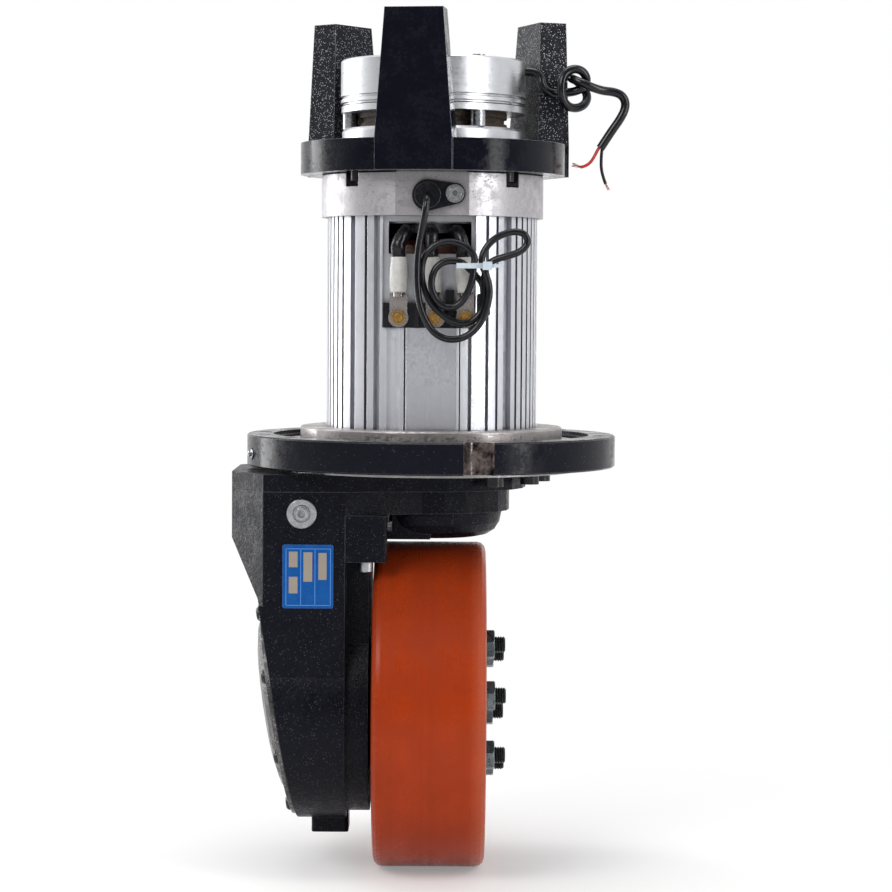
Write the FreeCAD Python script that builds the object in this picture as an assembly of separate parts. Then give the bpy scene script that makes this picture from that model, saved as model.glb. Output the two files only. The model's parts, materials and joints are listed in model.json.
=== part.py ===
import FreeCAD, Part
import math
import os

# Drive wheel unit for a guided vehicle, in millimetres.
# X runs along the wheel's axle, Z is the swivel axis, and the front is towards -Y.
# The origin is on the swivel axis, in the face that the chassis is bolted to.

V = FreeCAD.Vector
UP = V(0, 0, 1)
ALONG = V(1, 0, 0)
FORWARD = V(0, -1, 0)

# Clearances
FIT = 0.02
RUNNING = 0.05
BODY_GAP = 0.3
SCREW_GAP = 0.25
SEAT_GAP = 0.1

# Screw sizes
M5_RADIUS = 2.5
M6_RADIUS = 3.0
M8_RADIUS = 4.0

# Wheel and its axle
WHEEL_RADIUS = 115.0
WHEEL_WIDTH = 78.0
AXLE_Z = -192.0
TYRE_THICKNESS = 20.0
TYRE_SHOULDER = 6.0
RIM_WALL = 9.0
RIM_INSET = 1.5
DISC_FACE_X = 35.7
DISC_THICKNESS = 12.0
STUD_CIRCLE = 90.0
STUD_COUNT = 6
STUD_RADIUS = 6.0
STUD_TURN = 15.0
STUD_END_X = 53.3
NUT_FLATS = 19.0
NUT_HEIGHT = 10.0
HUB_PILOT_RADIUS = 30.0
DRIVE_FLANGE_RADIUS = 58.0
DRIVE_FLANGE_THICKNESS = 14.0
AXLE_RADIUS = 25.0
AXLE_BEARING_RADIUS = 40.0
AXLE_BEARING_WIDTH = 18.0

# Slewing ring between the chassis and the unit
RING_RADIUS = 130.0
RING_HEIGHT = 22.0
RING_WIDTH = 22.5
RING_CHAMFER = 1.0
RING_BOLT_INSET = 11.0
RING_BOLT_COUNT = 8
RING_BOLT_RADIUS = 4.5
RING_BOLT_ANGLE = 37.0
NOTCH_RADIUS = 10.0
NOTCH_ANGLE = 14.4
BALL_RADIUS = 4.0
BALL_COUNT = 18
RACE_GAP = 3.0
BALL_Z = -13.0
INNER_TOP_Z = -4.0
INNER_BOTTOM_Z = -25.0
INNER_BORE_RADIUS = 60.0
SLEW_SCREW_RADIUS = 78.0
NIPPLE_ANGLE = -72.5

# Motor
FLANGE_INSET = 12.0
FLANGE_TOP_Z = 5.5
FLANGE_SCREW_INSET = 8.5
FLANGE_SCREW_COUNT = 8
FRAME_RADIUS = 74.0
FRAME_WALL = 14.0
FRAME_TOP_Z = 152.0
FIN_DEPTH = 4.0
FINE_GROOVE_WIDTH = 2.3
FINE_GROOVE_STEP = 5.6
FINE_GROOVE_FIRST = 52.0
FINE_GROOVE_LAST = 306.0
FACET_HALF_WIDTH = 17.0
FACET_DEPTH = 2.2
SHIELD_OVERHANG = 4.0
SHIELD_TOP_Z = 182.0
SHIELD_FACET_HALF_WIDTH = 25.2
SHIELD_NOTCH_WIDTH = 12.4
SHIELD_NOTCH_HEIGHT = 10.0
SHIELD_NOTCH_DEPTH = 11.5
CORE_LOW_Z = 30.0
CORE_HIGH_Z = 120.0
CORE_BORE_RADIUS = 35.0
AIR_GAP = 0.5
END_TURN_HEIGHT = 16.0
CORE_SHAFT_RADIUS = 14.0
LOWER_BEARING_BORE = 12.5
LOWER_BEARING_RADIUS = 26.0
LOWER_BEARING_WIDTH = 15.0
LOWER_BEARING_Z = -18.0
UPPER_BEARING_BORE = 10.0
UPPER_BEARING_RADIUS = 23.5
UPPER_BEARING_WIDTH = 14.0
UPPER_BEARING_Z = 141.0

# Terminals in a pocket of the motor frame
POCKET_LEFT = -33.5
POCKET_RIGHT = 30.0
POCKET_BOTTOM_Z = 75.5
POCKET_DEPTH = 11.0
TERMINAL_XS = (-22.5, 2.7, 23.5)
TERMINAL_TILTS = (0.0, 4.0, 3.0)
TERMINAL_Z = 82.6
FENCE_XS = (-10.0, 13.2)
BOARD_THICKNESS = 8.0
LEAD_RADIUS = 5.2
LUG_THICKNESS = 1.6

# Speed sensor on the top end shield
SENSOR_X = -3.0
SENSOR_Z = 165.6
SENSOR_SCREW_X = 15.5
SENSOR_SCREW_Z = 166.7
SENSOR_PLATE = 3.0
SENSOR_WHEEL_RADIUS = 34.0
SENSOR_WHEEL_TEETH = 24

# Top bracket
BRACKET_RADIUS = 93.0
BRACKET_TOP_Z = 204.0
BRACKET_BORE_RADIUS = 45.0
BRACKET_SCREW_INSET = 5.5
ARM_ANGLES = (-8.0, 112.0, -128.0)
ARM_FACE_RADIUS = 93.2
ARM_BASE_WIDTH = 53.0
ARM_TOP_WIDTH = 40.0
ARM_BASE_DEPTH = 24.0
ARM_TOP_DEPTH = 20.0
ARM_TOP_Z = 291.0
ARM_HOLE_RADIUS = 5.0
ARM_HOLE_DEPTH = 22.0

# Holding brake
BRAKE_RADIUS = 65.0
BRAKE_BASE_TOP_Z = 214.0
BRAKE_DISC_THICKNESS = 10.8
BRAKE_DISC_INSET = 13.0
ARMATURE_THICKNESS = 4.6
BRAKE_AIR_GAP = 0.6
BRAKE_TOP_Z = 262.0
BRAKE_SCREW_INSET = 7.0
BRAKE_SCREW_ANGLES = (32.0, 152.0, -88.0)
BRAKE_SHAFT_RADIUS = 9.0

# Gearbox
PINION_TEETH = 13
WHEEL_TEETH = 54
SPUR_MODULE = 2.0
SPUR_FACE = 22.0
SPUR_LOW_Z = -60.0
BEVEL_PINION_TEETH = 9
BEVEL_GEAR_TEETH = 40
BEVEL_MODULE = 2.75
BEVEL_FACE = 16.0
TOOTH_THINNING = 0.22
BEVEL_THINNING = 0.35
PINION_SHAFT_RADIUS = 10.0
PINION_BEARING_RADIUS = 21.0
PINION_BEARING_WIDTH = 15.0
PINION_BEARING_ZS = (-83.0, -118.0)
HOUSING_LEFT_X = -138.0
HOUSING_DEPTH = 76.0
LEG_RIGHT_X = -58.0
DRUM_RIGHT_X = -42.0
NOSE_RIGHT_X = 4.0
NOSE_RADIUS = 47.0
DRUM_RADIUS = 81.0
INNER_DRUM_RADIUS = 76.0
GEAR_ROOM_RADIUS = 65.0
GEAR_ROOM_RIGHT_X = -50.0
FOOT_Z = -282.0
FOOT_LEFT_X = -83.0
FOOT_RIGHT_X = -57.0
FOOT_HALF_DEPTH = 16.0
BOSS_RIGHT_X = -29.5
BOSS_BOTTOM_Z = -85.0
BOSS_DEPTH = 22.0
LID_BOTTOM_Z = -37.0
LID_RIGHT_RADIUS = 67.0
LID_BORE_RADIUS = 30.0
LID_SCREW_PLACES = ((42.0, 22.0), (-24.0, 55.0), (-68.0, 69.0), (-122.0, 40.0))
DECK_BOTTOM_Z = -53.0
DECK_RIGHT_RADIUS = 55.5
BOWL_BOTTOM_Z = -71.5
BOWL_RADIUS = 50.0
BOWL_ROUND = 16.0
COVER_RADIUS = 79.0
COVER_TILT = 9.0
COVER_SEAT_X = -105.0
COVER_THICKNESS = 3.0
COVER_SCREW_CIRCLE = 146.0
COVER_SCREW_COUNT = 8

# Worked out from the sizes above
RING_BORE_RADIUS = RING_RADIUS - RING_WIDTH
RING_BOLT_CIRCLE = 2 * (RING_RADIUS - RING_BOLT_INSET)
FRAME_BORE_RADIUS = FRAME_RADIUS - FRAME_WALL
SHIELD_RADIUS = FRAME_RADIUS + SHIELD_OVERHANG
BRACKET_SCREW_RADIUS = SHIELD_RADIUS - BRACKET_SCREW_INSET
POCKET_FLOOR_Y = POCKET_DEPTH - FRAME_RADIUS
BOARD_FRONT_Y = POCKET_FLOOR_Y - BOARD_THICKNESS
BRAKE_BASE_RADIUS = BRAKE_RADIUS - 1.0
BRAKE_DISC_RADIUS = BRAKE_RADIUS - BRAKE_DISC_INSET
BRAKE_SCREW_CIRCLE = 2 * (BRAKE_RADIUS - BRAKE_SCREW_INSET)
BALL_CIRCLE_RADIUS = RING_BORE_RADIUS - RACE_GAP / 2
INNER_RING_RADIUS = RING_BORE_RADIUS - RACE_GAP
FLANGE_RADIUS = INNER_RING_RADIUS - FLANGE_INSET
FLANGE_SCREW_CIRCLE = 2 * (FLANGE_RADIUS - FLANGE_SCREW_INSET)
CENTRE_DISTANCE = SPUR_MODULE * (PINION_TEETH + WHEEL_TEETH) / 2
PINION_X = -CENTRE_DISTANCE
SPUR_HIGH_Z = SPUR_LOW_Z + SPUR_FACE
BEVEL_RADIUS = BEVEL_MODULE * BEVEL_GEAR_TEETH / 2
BEVEL_PINION_RADIUS = BEVEL_MODULE * BEVEL_PINION_TEETH / 2
DISC_INNER_X = DISC_FACE_X - DISC_THICKNESS
DRIVE_FLANGE_X = DISC_INNER_X - DRIVE_FLANGE_THICKNESS
ARMATURE_Z = BRAKE_BASE_TOP_Z + BRAKE_DISC_THICKNESS + 2 * SEAT_GAP
MAGNET_Z = ARMATURE_Z + ARMATURE_THICKNESS + BRAKE_AIR_GAP


def box(low, high):
    """Block between two corners."""
    return Part.makeBox(high[0] - low[0], high[1] - low[1], high[2] - low[2], V(*low))


def rounded_block(low, high, radius):
    """Block between two corners, with its upright edges rounded."""
    block = box(low, high)
    upright = [edge for edge in block.Edges if abs(edge.tangentAt(edge.FirstParameter).z) > 0.9]
    return block.makeFillet(radius, upright)


def bar(radius, low, high, x=0.0, y=0.0):
    """Upright round bar between two heights."""
    return Part.makeCylinder(radius, high - low, V(x, y, low))


def sleeve(outer, inner, low, high, x=0.0, y=0.0):
    """Upright tube between two heights."""
    return bar(outer, low, high, x, y).cut(bar(inner, low - 1, high + 1, x, y))


def level_bar(radius, left, right, y=0.0, z=AXLE_Z):
    """Round bar along X."""
    return Part.makeCylinder(radius, right - left, V(left, y, z), ALONG)


def level_sleeve(outer, inner, left, right):
    """Tube round the wheel's axle."""
    return level_bar(outer, left, right).cut(level_bar(inner, left - 1, right + 1))


def front_bar(radius, near, far, x, z):
    """Round bar along Y, from its near end to its far end."""
    return Part.makeCylinder(radius, far - near, V(x, near, z), V(0, 1, 0))


def polygon_face(points):
    """Flat face inside a closed row of points."""
    return Part.Face(Part.makePolygon(list(points) + [points[0]]))


def turned(profile, x=0.0):
    """Solid of revolution about an upright axis, from (radius, height) points."""
    face = polygon_face([V(x + radius, 0, height) for radius, height in profile])
    return face.revolve(V(x, 0, 0), UP, 360)


def turned_on_axle(profile):
    """Solid of revolution about the wheel's axle, from (radius, x) points."""
    face = polygon_face([V(x, 0, AXLE_Z + radius) for radius, x in profile])
    return face.revolve(V(0, 0, AXLE_Z), ALONG, 360)


def plate(outline, low, high):
    """Upright prism over an outline in X and Y."""
    face = polygon_face([V(x, y, low) for x, y in outline])
    return face.extrude(V(0, 0, high - low))


def at_angle(shape, angle):
    """Copy turned about the swivel axis, by an angle counted from the front towards +X."""
    copy = shape.copy()
    copy.rotate(V(0, 0, 0), UP, angle)
    return copy


def around(shape, angles):
    """Copies of a shape at several angles about the swivel axis."""
    return [at_angle(shape, angle) for angle in angles]


def even(count, start=0.0):
    """Evenly spaced angles round a circle."""
    return [start + 360.0 * index / count for index in range(count)]


def around_axle(shape, angles):
    """Copies of a shape at several angles about the wheel's axle."""
    copies = []
    for angle in angles:
        copy = shape.copy()
        copy.rotate(V(0, 0, AXLE_Z), ALONG, angle)
        copies.append(copy)
    return copies


def hexagon(flats, low, high):
    """Upright hexagonal prism on the origin's axis."""
    corner = flats / math.sqrt(3)
    outline = [(corner * math.cos(math.radians(a)), corner * math.sin(math.radians(a)))
               for a in even(6)]
    return plate(outline, low, high)


def socket_screw(radius, head_radius, head_height, shank, socket_flats):
    """Socket-head screw that points down, with the head's seat at height 0."""
    head = bar(head_radius, 0, head_height).cut(hexagon(socket_flats, head_height / 2, head_height + 1))
    return head.fuse(bar(radius, -shank, 0)).removeSplitter()


def placed(shape, position, direction=UP):
    """Copy of a piece made upright on the origin, turned to a direction and moved."""
    copy = shape.copy()
    turn = FreeCAD.Rotation(UP, direction)
    copy.Placement = FreeCAD.Placement(V(*position), turn) * copy.Placement
    return copy


def tube(points, radius):
    """Round cord along straight runs that are joined by tangent arcs."""
    edges = []
    start = points[0]
    tightest = None
    for index in range(1, len(points) - 1):
        corner = points[index]
        back = points[index - 1] - corner
        ahead = points[index + 1] - corner
        turn = math.pi - back.getAngle(ahead)
        reach = 0.45 * min(back.Length, ahead.Length)
        bend = reach / math.tan(turn / 2)
        tightest = bend if tightest is None else min(tightest, bend)
        back.normalize()
        ahead.normalize()
        enter = corner + back * reach
        leave = corner + ahead * reach
        inward = (back + ahead).normalize()
        middle = corner + inward * (bend / math.cos(turn / 2) - bend)
        edges.append(Part.LineSegment(start, enter).toShape())
        edges.append(Part.Arc(enter, middle, leave).toShape())
        start = leave
    edges.append(Part.LineSegment(start, points[-1]).toShape())
    path = Part.Wire(edges)
    first = (points[1] - points[0]).normalize()
    section = Part.Wire([Part.makeCircle(radius, points[0], first)])
    cord = path.makePipeShell([section], True, False, 2)
    share = cord.Volume / (math.pi * radius ** 2 * path.Length)
    print("cord: length %.1f, tightest radius %.1f, volume share %.4f" % (path.Length, tightest, share))
    return cord


def save(name, shapes):
    """Write one node, from a solid or a list of solids."""
    if isinstance(shapes, list):
        shape = Part.makeCompound(shapes)
    else:
        shape = shapes
    shape.exportStep("parts/" + name + ".step")


def gear_outline(teeth, thinning, turn):
    """Involute tooth outline as points round the origin; a tooth points along the turn."""
    pitch = SPUR_MODULE * teeth / 2
    pressure = math.radians(20)
    base = pitch * math.cos(pressure)
    root = pitch - 1.25 * SPUR_MODULE
    tip = pitch + SPUR_MODULE
    start = max(base, root)

    def half_angle(radius):
        roll = math.acos(min(1.0, base / radius))
        involute = math.tan(roll) - roll
        at_pitch = (math.pi * SPUR_MODULE / 4 - thinning) / pitch
        return at_pitch + math.tan(pressure) - pressure - involute

    flank = [(root, half_angle(start)), ((start + pitch) / 2, half_angle((start + pitch) / 2)),
             ((pitch + tip) / 2, half_angle((pitch + tip) / 2)), (tip, half_angle(tip))]
    points = []
    for index in range(teeth):
        centre = math.radians(turn) + 2 * math.pi * index / teeth
        for radius, half in flank:
            points.append((radius * math.cos(centre - half), radius * math.sin(centre - half)))
        for radius, half in reversed(flank):
            points.append((radius * math.cos(centre + half), radius * math.sin(centre + half)))
    return points


def bevel_gear(teeth, mate_teeth, addendum, dedendum, back, bore):
    """Straight bevel gear with its apex at the origin and its axis along +Z.

    A tooth points along +X. The back is a list of (radius, height) points that
    closes the blank behind the teeth, from the outer end to the bore.
    """
    slope = math.atan2(teeth, mate_teeth)
    outer = BEVEL_MODULE * teeth / 2 / math.sin(slope)
    shrink = (outer - BEVEL_FACE) / outer
    half = math.pi * BEVEL_MODULE / 4 - BEVEL_THINNING
    lean = math.tan(math.radians(20))
    sunk = dedendum + 0.6

    def cone_point(height):
        radial = outer * math.sin(slope) + height * math.cos(slope)
        axial = outer * math.cos(slope) - height * math.sin(slope)
        return radial, axial

    tip = cone_point(addendum)
    foot = cone_point(-sunk)
    near = [V(foot[0], -half - sunk * lean, foot[1]), V(tip[0], -half + addendum * lean, tip[1]),
            V(tip[0], half - addendum * lean, tip[1]), V(foot[0], half + sunk * lean, foot[1])]
    far = [point * shrink for point in near]
    faces = [polygon_face(near), polygon_face(far)]
    for index in range(4):
        after = (index + 1) % 4
        faces.append(polygon_face([near[index], near[after], far[after], far[index]]))
    tooth = Part.Solid(Part.Shell(faces))
    if tooth.Volume < 0:
        tooth.reverse()
    root = cone_point(-dedendum)
    inner = (root[0] * shrink, root[1] * shrink)
    blank = turned([root] + back + bore + [inner])
    return blank.fuse([at_angle(tooth, angle) for angle in even(teeth)])


def bearing(bore, outside, width):
    """Inner and outer ring of a sealed bearing that stands on height 0."""
    middle = (bore + outside) / 2
    inner = sleeve(middle - BODY_GAP / 2, bore + FIT, 0, width)
    outer = sleeve(outside - FIT, middle + BODY_GAP / 2, 0, width)
    return inner, outer


def tilted(shape):
    """Move a piece made upright on the origin to the seat of the side cover."""
    lean = math.radians(COVER_TILT)
    outward = V(-math.cos(lean), 0, -math.sin(lean))
    return placed(shape, (COVER_SEAT_X, 0, AXLE_Z), outward)


def slewing_ring():
    low, high = -RING_HEIGHT, 0.0
    chamfer = RING_CHAMFER
    outer = turned([
        (RING_BORE_RADIUS, low), (RING_RADIUS - chamfer, low), (RING_RADIUS, low + chamfer),
        (RING_RADIUS, high - chamfer), (RING_RADIUS - chamfer, high),
        (RING_BORE_RADIUS + 4, high), (RING_BORE_RADIUS + 4, high - 2.5), (RING_BORE_RADIUS, high - 2.5),
    ])
    race = Part.makeTorus(BALL_CIRCLE_RADIUS, BALL_RADIUS + RUNNING, V(0, 0, BALL_Z))
    bolt_hole = bar(RING_BOLT_RADIUS, low - 1, high + 1, 0, -RING_BOLT_CIRCLE / 2)
    notch = bar(NOTCH_RADIUS, low - 1, high + 1, 0, -RING_RADIUS)
    nipple_hole = front_bar(3.0, -RING_RADIUS - 1, -RING_RADIUS + 8, 0, BALL_Z).fuse(
        front_bar(4.2, -RING_RADIUS - 1, -RING_RADIUS + 0.9, 0, BALL_Z))
    outer = outer.cut(
        around(bolt_hole, even(RING_BOLT_COUNT, RING_BOLT_ANGLE))
        + [race, at_angle(notch, NOTCH_ANGLE), at_angle(nipple_hole, NIPPLE_ANGLE)])
    save("slew_outer_ring", outer)

    nipple = turned([(0, -6), (3.0 - FIT, -6), (3.0 - FIT, 0), (3.4, 0), (3.4, 1.6), (1.6, 2.4), (2.2, 3.6),
                     (1.2, 4.4), (0, 4.4)])
    nipple = placed(nipple, (0, -RING_RADIUS + 0.9, BALL_Z), FORWARD)
    save("grease_nipple", at_angle(nipple, NIPPLE_ANGLE))

    ball = Part.makeSphere(BALL_RADIUS, V(0, -BALL_CIRCLE_RADIUS, BALL_Z))
    pocket = Part.makeSphere(BALL_RADIUS + BODY_GAP, V(0, -BALL_CIRCLE_RADIUS, BALL_Z))
    cage = sleeve(BALL_CIRCLE_RADIUS + 0.8, BALL_CIRCLE_RADIUS - 0.8, BALL_Z - 5.5, BALL_Z + 5.5)
    cage = cage.cut(around(pocket, even(BALL_COUNT)))
    save("slew_ball_set", [cage] + around(ball, even(BALL_COUNT)))

    inner = sleeve(INNER_RING_RADIUS, INNER_BORE_RADIUS, INNER_BOTTOM_Z, INNER_TOP_Z)
    top_hole = bar(M6_RADIUS + SCREW_GAP, INNER_TOP_Z - 12, INNER_TOP_Z + 1, 0, -FLANGE_SCREW_CIRCLE / 2)
    low_hole = bar(M8_RADIUS + SCREW_GAP, INNER_BOTTOM_Z - 1, INNER_BOTTOM_Z + 12, 0, -SLEW_SCREW_RADIUS)
    low_angles = [90.0 + step for step in (-56.0, -28.0, 0.0, 28.0, 56.0)]
    holes = around(top_hole, even(FLANGE_SCREW_COUNT, 22.5)) + around(low_hole, low_angles)
    inner = inner.cut([race] + holes)
    save("slew_inner_ring", inner)
    screw = socket_screw(M8_RADIUS, 6.5, 8.0, 11.0, 6.0)
    screw = placed(screw, (0, -SLEW_SCREW_RADIUS, INNER_BOTTOM_Z), V(0, 0, -1))
    save("slew_ring_screws", around(screw, low_angles))


def motor_flange():
    seat = LOWER_BEARING_Z
    spigot = INNER_BORE_RADIUS - FIT
    flange = turned([
        (15.0, INNER_BOTTOM_Z + 1), (spigot, INNER_BOTTOM_Z + 1), (spigot, INNER_TOP_Z),
        (FLANGE_RADIUS, INNER_TOP_Z), (FLANGE_RADIUS, FLANGE_TOP_Z - 1), (FLANGE_RADIUS - 1, FLANGE_TOP_Z),
        (FRAME_BORE_RADIUS - FIT, FLANGE_TOP_Z), (FRAME_BORE_RADIUS - FIT, FLANGE_TOP_Z + 4),
        (FRAME_BORE_RADIUS - 5, FLANGE_TOP_Z + 4), (FRAME_BORE_RADIUS - 5, FLANGE_TOP_Z - 2),
        (LOWER_BEARING_RADIUS + 6, FLANGE_TOP_Z - 2), (LOWER_BEARING_RADIUS + 6, LOWER_BEARING_Z + 16),
        (LOWER_BEARING_RADIUS, LOWER_BEARING_Z + 16), (LOWER_BEARING_RADIUS, seat), (15.0, seat),
    ])
    hole = bar(M6_RADIUS + SCREW_GAP, INNER_TOP_Z - 1, FLANGE_TOP_Z + 1, 0, -FLANGE_SCREW_CIRCLE / 2)
    sink = bar(5.5, FLANGE_TOP_Z - 4, FLANGE_TOP_Z + 1, 0, -FLANGE_SCREW_CIRCLE / 2)
    angles = even(FLANGE_SCREW_COUNT, 22.5)
    save("motor_flange", flange.cut(around(hole, angles) + around(sink, angles)))
    screw = socket_screw(M6_RADIUS, 5.0, 4.0, 16.0, 4.0)
    screw = placed(screw, (0, -FLANGE_SCREW_CIRCLE / 2, FLANGE_TOP_Z - 4))
    return around(screw, angles)


def groove(width, depth):
    """Cutter for one groove in the front of the motor frame."""
    low = (-width / 2, -FRAME_RADIUS - 3, FLANGE_TOP_Z - 1)
    return box(low, (width / 2, -FRAME_RADIUS + depth, FRAME_TOP_Z + 1))


def motor_frame():
    frame = bar(FRAME_RADIUS, FLANGE_TOP_Z, FRAME_TOP_Z)
    cuts = [bar(FRAME_BORE_RADIUS, FLANGE_TOP_Z - 1, FRAME_TOP_Z + 1)]
    facet_y = -FRAME_RADIUS + FACET_DEPTH
    cuts.append(box((-FACET_HALF_WIDTH, -FRAME_RADIUS - 1, FLANGE_TOP_Z - 1),
                    (FACET_HALF_WIDTH, facet_y, FRAME_TOP_Z + 1)))
    wide_grooves = (
        (15.2, 0.9), (20.8, 2.6), (31.0, 2.4), (37.4, 2.0), (44.8, 7.5),
        (-14.2, 1.2), (-30.4, 5.0), (-37.6, 2.4), (-47.2, 4.6),
    )
    cuts += [at_angle(groove(width, FIN_DEPTH), angle) for angle, width in wide_grooves]
    flute = bar(9.0, FLANGE_TOP_Z - 1, FRAME_TOP_Z + 1, 0, -FRAME_RADIUS - 7.4)
    cuts.append(at_angle(flute, -20.6))
    fine = groove(FINE_GROOVE_WIDTH, FIN_DEPTH - 1)
    fine_count = int((FINE_GROOVE_LAST - FINE_GROOVE_FIRST) / FINE_GROOVE_STEP) + 1
    fine_angles = [FINE_GROOVE_FIRST + FINE_GROOVE_STEP * step for step in range(fine_count)]
    cuts += around(fine, fine_angles)
    cuts.append(box((POCKET_LEFT, -FRAME_RADIUS - 1, POCKET_BOTTOM_Z),
                    (POCKET_RIGHT, POCKET_FLOOR_Y, FRAME_TOP_Z + 1)))
    cuts.append(box((POCKET_LEFT + 4, POCKET_FLOOR_Y - 1, FRAME_TOP_Z - 26),
                    (POCKET_RIGHT - 3, -FRAME_BORE_RADIUS + 20, FRAME_TOP_Z - 4)))
    save("motor_frame", frame.cut(cuts))


def motor_inside():
    core = sleeve(FRAME_BORE_RADIUS - FIT, CORE_BORE_RADIUS, CORE_LOW_Z, CORE_HIGH_Z)
    slot = box((-2.5, -CORE_BORE_RADIUS - 14, CORE_LOW_Z - 1), (2.5, -CORE_BORE_RADIUS + 2, CORE_HIGH_Z + 1))
    save("stator_core", core.cut(around(slot, even(12))))
    turns = []
    for low in (CORE_LOW_Z - END_TURN_HEIGHT, CORE_HIGH_Z):
        high = low + END_TURN_HEIGHT
        inner = CORE_BORE_RADIUS + 3
        outer = FRAME_BORE_RADIUS - 5
        turns.append(turned([
            (inner, low + 3), (inner + 4, low), (outer - 5, low), (outer, low + 4),
            (outer, high - 4), (outer - 5, high), (inner + 4, high), (inner, high - 3),
        ]))
    save("stator_windings", turns)
    rotor = sleeve(CORE_BORE_RADIUS - AIR_GAP, CORE_SHAFT_RADIUS + FIT, CORE_LOW_Z, CORE_HIGH_Z)
    low_ring = sleeve(CORE_BORE_RADIUS - 4, 24, CORE_LOW_Z - 8, CORE_LOW_Z)
    high_ring = sleeve(CORE_BORE_RADIUS - 4, 24, CORE_HIGH_Z, CORE_HIGH_Z + 8)
    save("rotor_core", rotor.fuse([low_ring, high_ring]).removeSplitter())

    low_end = LOWER_BEARING_Z + LOWER_BEARING_WIDTH
    profile = [
        (0, SPUR_LOW_Z), (9.5, SPUR_LOW_Z), (9.5, LOWER_BEARING_Z - 4),
        (LOWER_BEARING_BORE, LOWER_BEARING_Z - 4), (LOWER_BEARING_BORE, low_end),
        (CORE_SHAFT_RADIUS, low_end), (CORE_SHAFT_RADIUS, CORE_HIGH_Z),
        (CORE_SHAFT_RADIUS, UPPER_BEARING_Z), (UPPER_BEARING_BORE, UPPER_BEARING_Z),
        (UPPER_BEARING_BORE, SENSOR_Z + 8), (BRAKE_SHAFT_RADIUS, SENSOR_Z + 8),
        (BRAKE_SHAFT_RADIUS, ARMATURE_Z + 2), (0, ARMATURE_Z + 2),
    ]
    shaft = turned(profile)
    outline = gear_outline(PINION_TEETH, TOOTH_THINNING, 180.0 + 180.0 / PINION_TEETH)
    teeth = plate(outline, SPUR_LOW_Z, SPUR_HIGH_Z)
    save("motor_shaft", shaft.fuse(teeth))

    notch = box((-2.2, -SENSOR_WHEEL_RADIUS - 1, SENSOR_Z - 6), (2.2, -SENSOR_WHEEL_RADIUS + 4, SENSOR_Z + 6))
    wheel = sleeve(SENSOR_WHEEL_RADIUS, UPPER_BEARING_BORE + FIT, SENSOR_Z - 3, SENSOR_Z + 3)
    hub = sleeve(16.0, UPPER_BEARING_BORE + FIT, SENSOR_Z - 5, SENSOR_Z + 5)
    save("sensor_wheel", wheel.fuse(hub).cut(around(notch, even(SENSOR_WHEEL_TEETH))))


def top_shield():
    seat = UPPER_BEARING_RADIUS
    top = UPPER_BEARING_Z + UPPER_BEARING_WIDTH
    spigot = FRAME_BORE_RADIUS - FIT
    spigot_bottom = FRAME_TOP_Z - 5
    web_bottom = FRAME_TOP_Z - 2
    rim = SHIELD_RADIUS - 16
    shield = turned([
        (seat, UPPER_BEARING_Z), (seat + 7, UPPER_BEARING_Z), (seat + 7, web_bottom),
        (spigot - 6, web_bottom), (spigot - 6, spigot_bottom), (spigot, spigot_bottom),
        (spigot, FRAME_TOP_Z), (SHIELD_RADIUS, FRAME_TOP_Z), (SHIELD_RADIUS, SHIELD_TOP_Z - 0.8),
        (SHIELD_RADIUS - 0.8, SHIELD_TOP_Z), (rim, SHIELD_TOP_Z), (rim, top + 2),
        (14, top + 2), (14, top), (seat, top),
    ])
    facet_y = -math.sqrt(SHIELD_RADIUS ** 2 - SHIELD_FACET_HALF_WIDTH ** 2)
    cuts = [box((-SHIELD_RADIUS, -SHIELD_RADIUS - 5, FRAME_TOP_Z - 1),
                (SHIELD_RADIUS, facet_y, SHIELD_TOP_Z + 1))]
    half = SHIELD_NOTCH_WIDTH / 2
    notch = box((-half, -SHIELD_RADIUS - 1, SHIELD_TOP_Z - SHIELD_NOTCH_HEIGHT),
                (half, SHIELD_NOTCH_DEPTH - SHIELD_RADIUS, SHIELD_TOP_Z + 1))
    cuts += around(notch, even(4, 45.0))
    cuts.append(front_bar(7.0 + SCREW_GAP, -SHIELD_RADIUS - 1, -55, SENSOR_X, SENSOR_Z))
    cuts.append(front_bar(M5_RADIUS + SCREW_GAP, -SHIELD_RADIUS - 1, -64, SENSOR_SCREW_X, SENSOR_SCREW_Z))
    save("motor_top_shield", shield.cut(cuts))
    screw = socket_screw(M6_RADIUS, 5.0, 6.0, 16.0, 5.0)
    screw = placed(screw, (0, -BRACKET_SCREW_RADIUS, SHIELD_TOP_Z), V(0, 0, -1))
    save("bracket_screws", around(screw, even(4, 45.0)))
    return facet_y


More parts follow.
